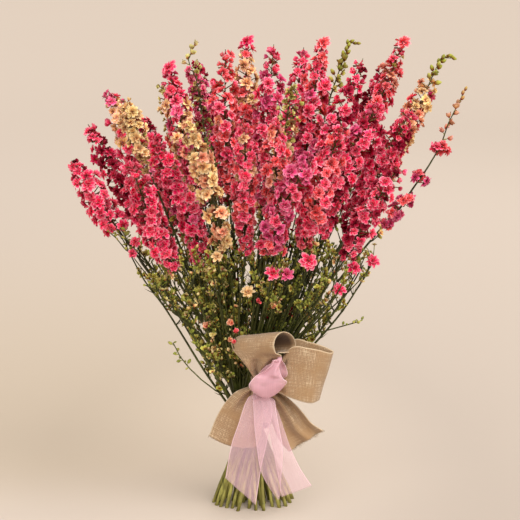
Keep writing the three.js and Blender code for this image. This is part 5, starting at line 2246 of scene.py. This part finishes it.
@dataclass
class Bow:
    """The burlap bow with its knot, and the sheer ribbon knotted over it. Sizes are in millimetres."""

    shift: Vector  # from the rows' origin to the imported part's frame, in metres
    burlap_width: float = 70.0
    sheer_width: float = 46.0
    folded_width: float = 32.0  # of the sheer tail whose halves hang side by side
    knot_lean: float = -0.222  # how far the knots lean forwards, with each millimetre of height
    knot_rows: int = 16
    yarns: int = 44  # at a cut end
    yarn_radii: Point = (0.32, 0.28, 0.12)
    # the upper loop's back rows have eighth numbers: painted shade inside its roll
    upper_loop: tuple[Row, ...] = (
        (11, -58, 183, 7, 0, 0), (6.5, -67, 199.5, 11, -1, -1.5), (10, -78, 219.5, 26, -10, 3.5),
        (2, -79, 228, 27, -13, 1.5), (0, -77, 238, 27, -16, 3.5), (4.5, -72, 245, 26.5, -15, 5.5),
        (14, -65, 247.5, 25.5, -13, 6, 0, 0.15), (23.5, -59, 242, 26, -9, 4.5, 0, 0.9),
        (27.5, -55.5, 231, 27.5, -5.5, 2.5, 0, 0.85), (25.5, -57, 222, 25.5, -8, 3, 0, 0.30),
        (20, -63, 219, 20, -15, 7.5, 0, 0.55), (14, -66, 213.5, 16.5, -17, 11.5, 0, 0.7),
        (9, -53.5, 192, 9, -4.5, 2.5), (8, -48.5, 178.5, 7.5, -1.5, 0.5),
    )
    side_loop: tuple[Row, ...] = (
        (17, -54, 174, 4, 0, 7.5), (32, -65, 190, 2.5, 1, 19.5), (48, -73.5, 199, 2, 2.5, 32.5),
        (67, -77.5, 196.5, 3, 2.5, 35), (80, -76.5, 194, 5, 1.5, 34.5), (90.5, -70.5, 192, 7.5, 0.5, 31.5),
        (94, -63, 192, 9, 1, 31.5), (83, -58.5, 195, 7, 1.5, 34), (66, -56.5, 199.5, 4.5, 1.5, 35),
        (46.5, -53.5, 202.5, 5, 0.5, 33), (29.5, -50, 187, 4, 0, 16), (18, -47, 175.5, 2.5, 0, 5.5),
    )
    left_tail: tuple[Row, ...] = (
        (2.5, -50, 167, 5, 0, -6.5), (-4, -54, 158.5, 17, 0, -9), (-12, -56, 140.5, 25, 0, -11),
        (-18.5, -58, 122.5, 29, 0, -11, 3), (-26, -58, 101.5, 31, 0, -7.5, 7),
    )
    right_tail: tuple[Row, ...] = (
        (20.5, -47.5, 165.5, 5, -0.5, 5), (33, -53, 151.5, 13.5, -1, 6.5), (44.5, -57, 133.5, 18.5, -1, 9),
        (55.5, -59, 115.5, 20.5, -1, 12), (69, -61, 103.5, 22, -1, 14),
    )
    sheer_loop: tuple[Row, ...] = (
        (10.5, -63, 180.5, 6.5, 0, 0, 0), (20, -70, 188.5, 16, 0, 0.5, 0), (26, -77, 197.5, 18, -1, -1, 0),
        (29.5, -82, 209.5, 12.5, 2, -1, 0), (32, -87, 217, 5.5, 7, -1, 0),
        (31.5, -91, 221.5, 4, 8, -0.5, 0), (29, -95, 216.5, 4.5, 5, 1.5, 0), (24, -97, 208.5, 9.5, 2, 1, 0),
        (20.5, -98, 200, 17, 0, -1, 0), (19.5, -99, 194, 23, 0, 1, 3), (19, -97.5, 190, 24, 0.5, 2, 9),
        (19, -91.5, 185, 22.5, 0.5, 2.5, 14), (19.5, -84, 183, 21, 0, 3.5, 12),
        (18, -76, 183, 16.5, 0, 2.5, 7), (15, -69, 182, 11, 0, 1.5, 3), (11.5, -63, 178.5, 6.5, 0, 0.5, 0),
    )
    sheer_left: tuple[Row, ...] = (
        (8, -60, 167.5, 6.5, 0, 0), (8.5, -71, 164, 13, -1, -2.5), (7, -75, 152, 18, -1, -2.5),
        (1.5, -78, 129, 20, -1, -2.5), (-5.5, -79, 101.5, 21.5, -1, -4.5), (-10.5, -78, 77, 21.5, -1, -3),
        (-16, -76, 39.5, 19.5, -1, -18),
    )
    sheer_middle: tuple[Row, ...] = (
        (11, -60, 167.5, 6, 0, 0), (14, -76, 163, 13.5, 0, 0), (15.5, -81, 148.5, 14.5, 0, 0),
        (18.5, -84, 124, 16, 0, 0), (22, -85, 99.5, 16.5, 0, 0.5), (23.5, -85, 75, 14, 0, 1.5),
        (27, -84, 55, 9, 0, 2), (34, -82, 33, 1.5, 0, 2.5),
    )
    sheer_right: tuple[Row, ...] = (
        (13, -57, 167, 5, 0, 0.5), (21.5, -62, 146.5, 8.5, 0, 1.5), (30.5, -66, 119.5, 9, 0, 2.5),
        (38, -68, 91, 11, 0, 3.5), (47, -69, 63, 14.5, 0, 5), (57, -69, 37, 19.5, 0, 7.5),
    )

    def _ribbons(self) -> list[Ribbon]:
        """The open ribbons of the bow.

        Returns:
            Two loops and two tails of burlap, and a loop and three tails of sheer ribbon.
        """
        burlap = {"width": self.burlap_width, "slot": "burlap", "held": "gathered", "deepest": 6.0}
        burlap["rests_on"] = ("burlap_knot_band",)
        loop = {"wave": 0.5, **burlap}
        tail = {"folds": 2.0, "steps": 12, **burlap}
        sheer = {"slot": "sheer_ribbon", "thickness": 0.25, "rests_on": ("sheer_knot",)}
        wide = {"width": self.sheer_width, **sheer}
        half = {"width": self.folded_width, "held": "hung", "folds": 1.0, **sheer}
        return [
            Ribbon(
                "burlap_loop_upper", "burlap_loop_left", self.upper_loop,
                folds=2.0, smooth_from=0.8, seed=3, **loop,
            ),
            Ribbon("burlap_loop_side", "burlap_loop_right", self.side_loop, seed=4, **loop),
            Ribbon("burlap_tail_1", "burlap_tail_left", self.left_tail, seed=5, **tail),
            Ribbon("burlap_tail_2", "burlap_tail_right", self.right_tail, seed=6, **tail),
            Ribbon(
                "sheer_loop", "ribbon_loop", self.sheer_loop,
                held="gathered", folds=1.0, deepest=4.2, wave=0.4, smooth_from=0.8, seed=8, **wide,
            ),
            Ribbon(
                "sheer_tail_1", "ribbon_tail_left", self.sheer_left,
                held="hung", folds=1.5, deepest=2.0, steps=9, seed=9, **wide,
            ),
            Ribbon(
                "sheer_tail_2", "ribbon_tail_centre", self.sheer_middle,
                deepest=2.0, steps=8, seed=10, **half,
            ),
            Ribbon(
                "sheer_tail_3", "ribbon_tail_right", self.sheer_right,
                deepest=2.4, steps=10, seed=11, **half,
            ),
        ]

    def _fringe(self, ribbon: Ribbon, material: Material) -> Object:
        """Build the short loose yarns at a ribbon's cut end.

        Args:
            ribbon: The ribbon, whose last row is its cut end.
            material: Finish of the yarns.

        Returns:
            Their object.
        """
        pile, dice = Pile(), Random(ribbon.seed + 60)
        last, before = (np.array(row, float) for row in (ribbon.rows[-1], ribbon.rows[-2]))
        ahead = Vector(last[:3] - before[:3]).normalized()
        for n in range(self.yarns):
            across = -1 + 2 * (n + dice.uniform(-0.3, 0.3)) / (self.yarns - 1)
            root = Vector(last[:3] + last[3:6] * across) - ahead * 1.5
            aside = stray(dice) * 0.35
            long = dice.uniform(1.0, 4.2)
            points = [root, root + ahead * (1.5 + long * 0.5), root + ahead * (1.5 + long) + aside * long]
            pile.tube([point * MM + self.shift for point in points], self.yarn_radii, 0, 0)
        return pile.piece(f"{ribbon.name}_fringe", (material,), ribbon.slot)

    def _knot(self, middle: Vector, reach: Vector, half: float) -> list[Row]:
        """The rows of a knot: a short band that goes round over the top, the front and the bottom.

        Args:
            middle: Its middle.
            reach: How far it reaches to the front, in y, and upwards, in z.
            half: Half its width.

        Returns:
            The rows.
        """
        rows = []
        for n in range(self.knot_rows):
            angle = math.tau * n / self.knot_rows
            y = -reach.y * math.copysign(abs(math.sin(angle)) ** 0.7, math.sin(angle))
            z = reach.z * math.copysign(abs(math.cos(angle)) ** 0.7, math.cos(angle))
            squeeze = 1.0 + 0.12 * abs(math.cos(angle))
            rows.append((middle.x, middle.y + y + self.knot_lean * z, middle.z + z, half * squeeze, 0.0, 0.0))
        return rows

    def build(self, burlap: Material, sheer: Material) -> list[Object]:
        """Build the whole bow.

        Args:
            burlap: Finish of the burlap.
            sheer: Finish of the sheer ribbon.

        Returns:
            Its objects.
        """
        common = {"deepest": 1.3, "steps": 4, "wave": 0.4, "closed": True, "seed": 12, "columns": 24}
        under = self._knot(Vector((8, -48.1, 170)), Vector((0, 8.5, 17.0)), 9.5)
        over = self._knot(Vector((8, -58.8, 167)), Vector((0, 4.2, 8.6)), 7.6)
        band, on = "burlap_knot_band", ("burlap_band",)
        ribbons = [
            Ribbon(band, "burlap_knot", under, 30.0, "burlap", "gathered", on, **common),
            Ribbon("sheer_knot", "ribbon_knot", over, 22.0, "sheer_ribbon", "gathered", (band,), **common),
            *self._ribbons(),
        ]
        satin = SheerFinish("sheer_ribbon_loop", body=(0.870, 0.520, 0.610), cover=0.44).material()
        finishes = {"burlap": burlap, "sheer_ribbon": sheer}
        made = []
        for ribbon in ribbons:
            finish = satin if ribbon.name == "sheer_loop" else finishes[ribbon.slot]
            made.append(ribbon.build(self.shift, finish))
        yarn = TwineFinish("burlap_yarn", colour=(0.480, 0.330, 0.180)).material()
        return made + [self._fringe(ribbon, yarn) for ribbon in ribbons if "burlap_tail" in ribbon.name]


# ---- Studio ----------------------------------------------------------------------------------------


@dataclass
class Studio:
    """A pale floor with painted light and shade, soft lamps and the camera, in metres."""

    aim: Vector
    elevation: float = 12.0
    distance: float = 2.0
    half_view: float = 0.169
    floor_radius: float = 26.0
    floor_drop: float = 0.0002  # how far the floor lies below the cut ends
    sun_from: Vector = field(default_factory=lambda: Vector((0.42, -0.85, 1.25)))
    sun_energy: float = 3.9
    sun_angle: float = 80.0
    sun_colour: Colour = (1.0, 0.97, 0.93)
    lamp_place: Point = (0.8, 2.4, 2.2)
    lamp_size: float = 1.2
    lamp_power: float = 14.0
    lamp_colour: Colour = (1.0, 0.97, 0.94)
    sky_colour: Colour = (1.0, 0.90, 0.78)
    sky_strength: float = 0.40

    def _floor(self) -> None:
        """Lay the floor."""
        bm = bmesh.new()
        bmesh.ops.create_circle(bm, cap_ends=True, segments=96, radius=self.floor_radius)
        mesh = finished_mesh(bm, "floor")
        mesh.materials.append(FloorFinish().material())
        floor = linked("floor", mesh)
        floor.location.z = -self.floor_drop

    def _light(self) -> None:
        """Set the soft sun, the lamp behind the bunch and the sky."""
        sun = bpy.data.lights.new("key_light", "SUN")
        sun.energy = self.sun_energy
        sun.angle = math.radians(self.sun_angle)
        sun.color = self.sun_colour
        linked("key_light", sun).rotation_euler = self.sun_from.to_track_quat("Z", "Y").to_euler()
        light = bpy.data.lights.new("back_lamp", "AREA")
        light.shape = "SQUARE"
        light.size = self.lamp_size
        light.energy = self.lamp_power
        light.color = self.lamp_colour
        lamp = linked("back_lamp", light)
        lamp.location = self.lamp_place
        lamp.rotation_euler = (self.aim - Vector(self.lamp_place)).to_track_quat("-Z", "Y").to_euler()
        world = bpy.data.worlds.new("studio")
        world.use_nodes = True
        back = world.node_tree.nodes["Background"]
        back.inputs[0].default_value = (*self.sky_colour, 1.0)
        back.inputs[1].default_value = self.sky_strength
        bpy.context.scene.world = world
        bpy.context.scene.view_settings.view_transform = "Standard"

    def build(self) -> None:
        """Set the floor, the lights and the camera."""
        self._floor()
        self._light()
        camera = bpy.data.cameras.new("camera")
        camera.sensor_width = 36.0
        camera.lens = camera.sensor_width / 2 / self.half_view
        camera.clip_end = 100.0
        holder = linked("camera", camera)
        tilt = math.radians(self.elevation)
        holder.location = self.aim + Vector((0, -math.cos(tilt), math.sin(tilt))) * self.distance
        holder.rotation_euler = (math.pi / 2 - tilt, 0, 0)
        bpy.context.scene.camera = holder


# ---- The whole scene -------------------------------------------------------------------------------

KNOT_MIDDLE = Vector((8.0, -45.296, 0.0))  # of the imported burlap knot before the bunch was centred
BOW_SHIFT = Vector((-4.0, 2.8, 0.0))  # from the rows of the bow to where it sits on the stalks
AIM = Vector((5.2, 0.0, 330.0))  # what the camera looks at, before the bunch was centred
PALE_RIM = (0.92, 0.84, 0.60)  # rim of cream and green petals: partly bleached, partly a painted highlight
# boxes round the tie and the bow's loops, in metres, in which no foliage grows
KEEP_OUT = (
    (Vector((-0.090, -0.16, 0.02)), Vector((0.105, -0.034, 0.176))),
    (Vector((-0.034, -0.16, 0.15)), Vector((0.115, -0.034, 0.262))),
)


def report(pieces: Sequence[Object]) -> None:
    """Log each piece with its number of faces."""
    for piece in pieces:
        LOG.info("%s: %d faces", piece.name, len(piece.data.polygons))


def petal_finishes() -> dict[str, Material]:
    """Make a petal finish for each tone that a spike has.

    Returns:
        The materials, by the tones' names.
    """
    finishes = {}
    for row in SPIKES:
        slot = row.tone.name.lower()
        if slot not in finishes:
            rim = PALE_RIM if row.tone in (Tone.CREAM, Tone.GREEN) else PetalFinish.rim
            finishes[slot] = PetalFinish(f"petals_{slot}", rim=rim).material()
    return finishes


def main() -> None:
    """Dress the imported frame."""
    logging.basicConfig(level=logging.INFO, format="%(message)s")
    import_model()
    low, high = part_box("burlap_knot")
    shift = (low + high) / 2 - KNOT_MIDDLE * MM
    shift.z = 0.0
    courses = Courses(shift=shift)
    shapes = Shapes()
    stem = StemFinish("stem_green").material()
    leaf = FoliageFinish("leaf_green").material()
    # the sepals' rim is partly a painted highlight as well
    sepal = PetalFinish("sepal_cream", rim=(0.90, 0.84, 0.62), rim_share=0.3).material()
    petals = petal_finishes()
    for number, row in enumerate(SPIKES):
        report([FlowerHead(number, courses, shapes, petals[row.tone.name.lower()], stem, leaf).build()])
    for number in range(len(SPIKES) // 2):
        greenery = Greenery(shapes, Random(800 + number), KEEP_OUT)
        report([StemPair(number, courses, greenery, (stem, leaf, sepal)).build()])
    fillers = Fillers(courses, Greenery(shapes, Random(900), KEEP_OUT), (stem, leaf, sepal))
    report(fillers.build())
    report(SideBlooms(fillers, shapes, petals).build())
    report([StalkEnds(courses, stem).build(), SideTwigs(courses, shapes, (stem, leaf)).build()])
    shapes.drop()
    burlap = WeaveFinish("burlap").material()
    twine = TwineFinish("twine").material()
    report(Tie(courses).build(burlap, twine))
    report(Bow(shift + BOW_SHIFT * MM).build(burlap, SheerFinish("sheer_ribbon").material()))
    Studio(AIM * MM + shift).build()


if __name__ == "__main__":
    main()
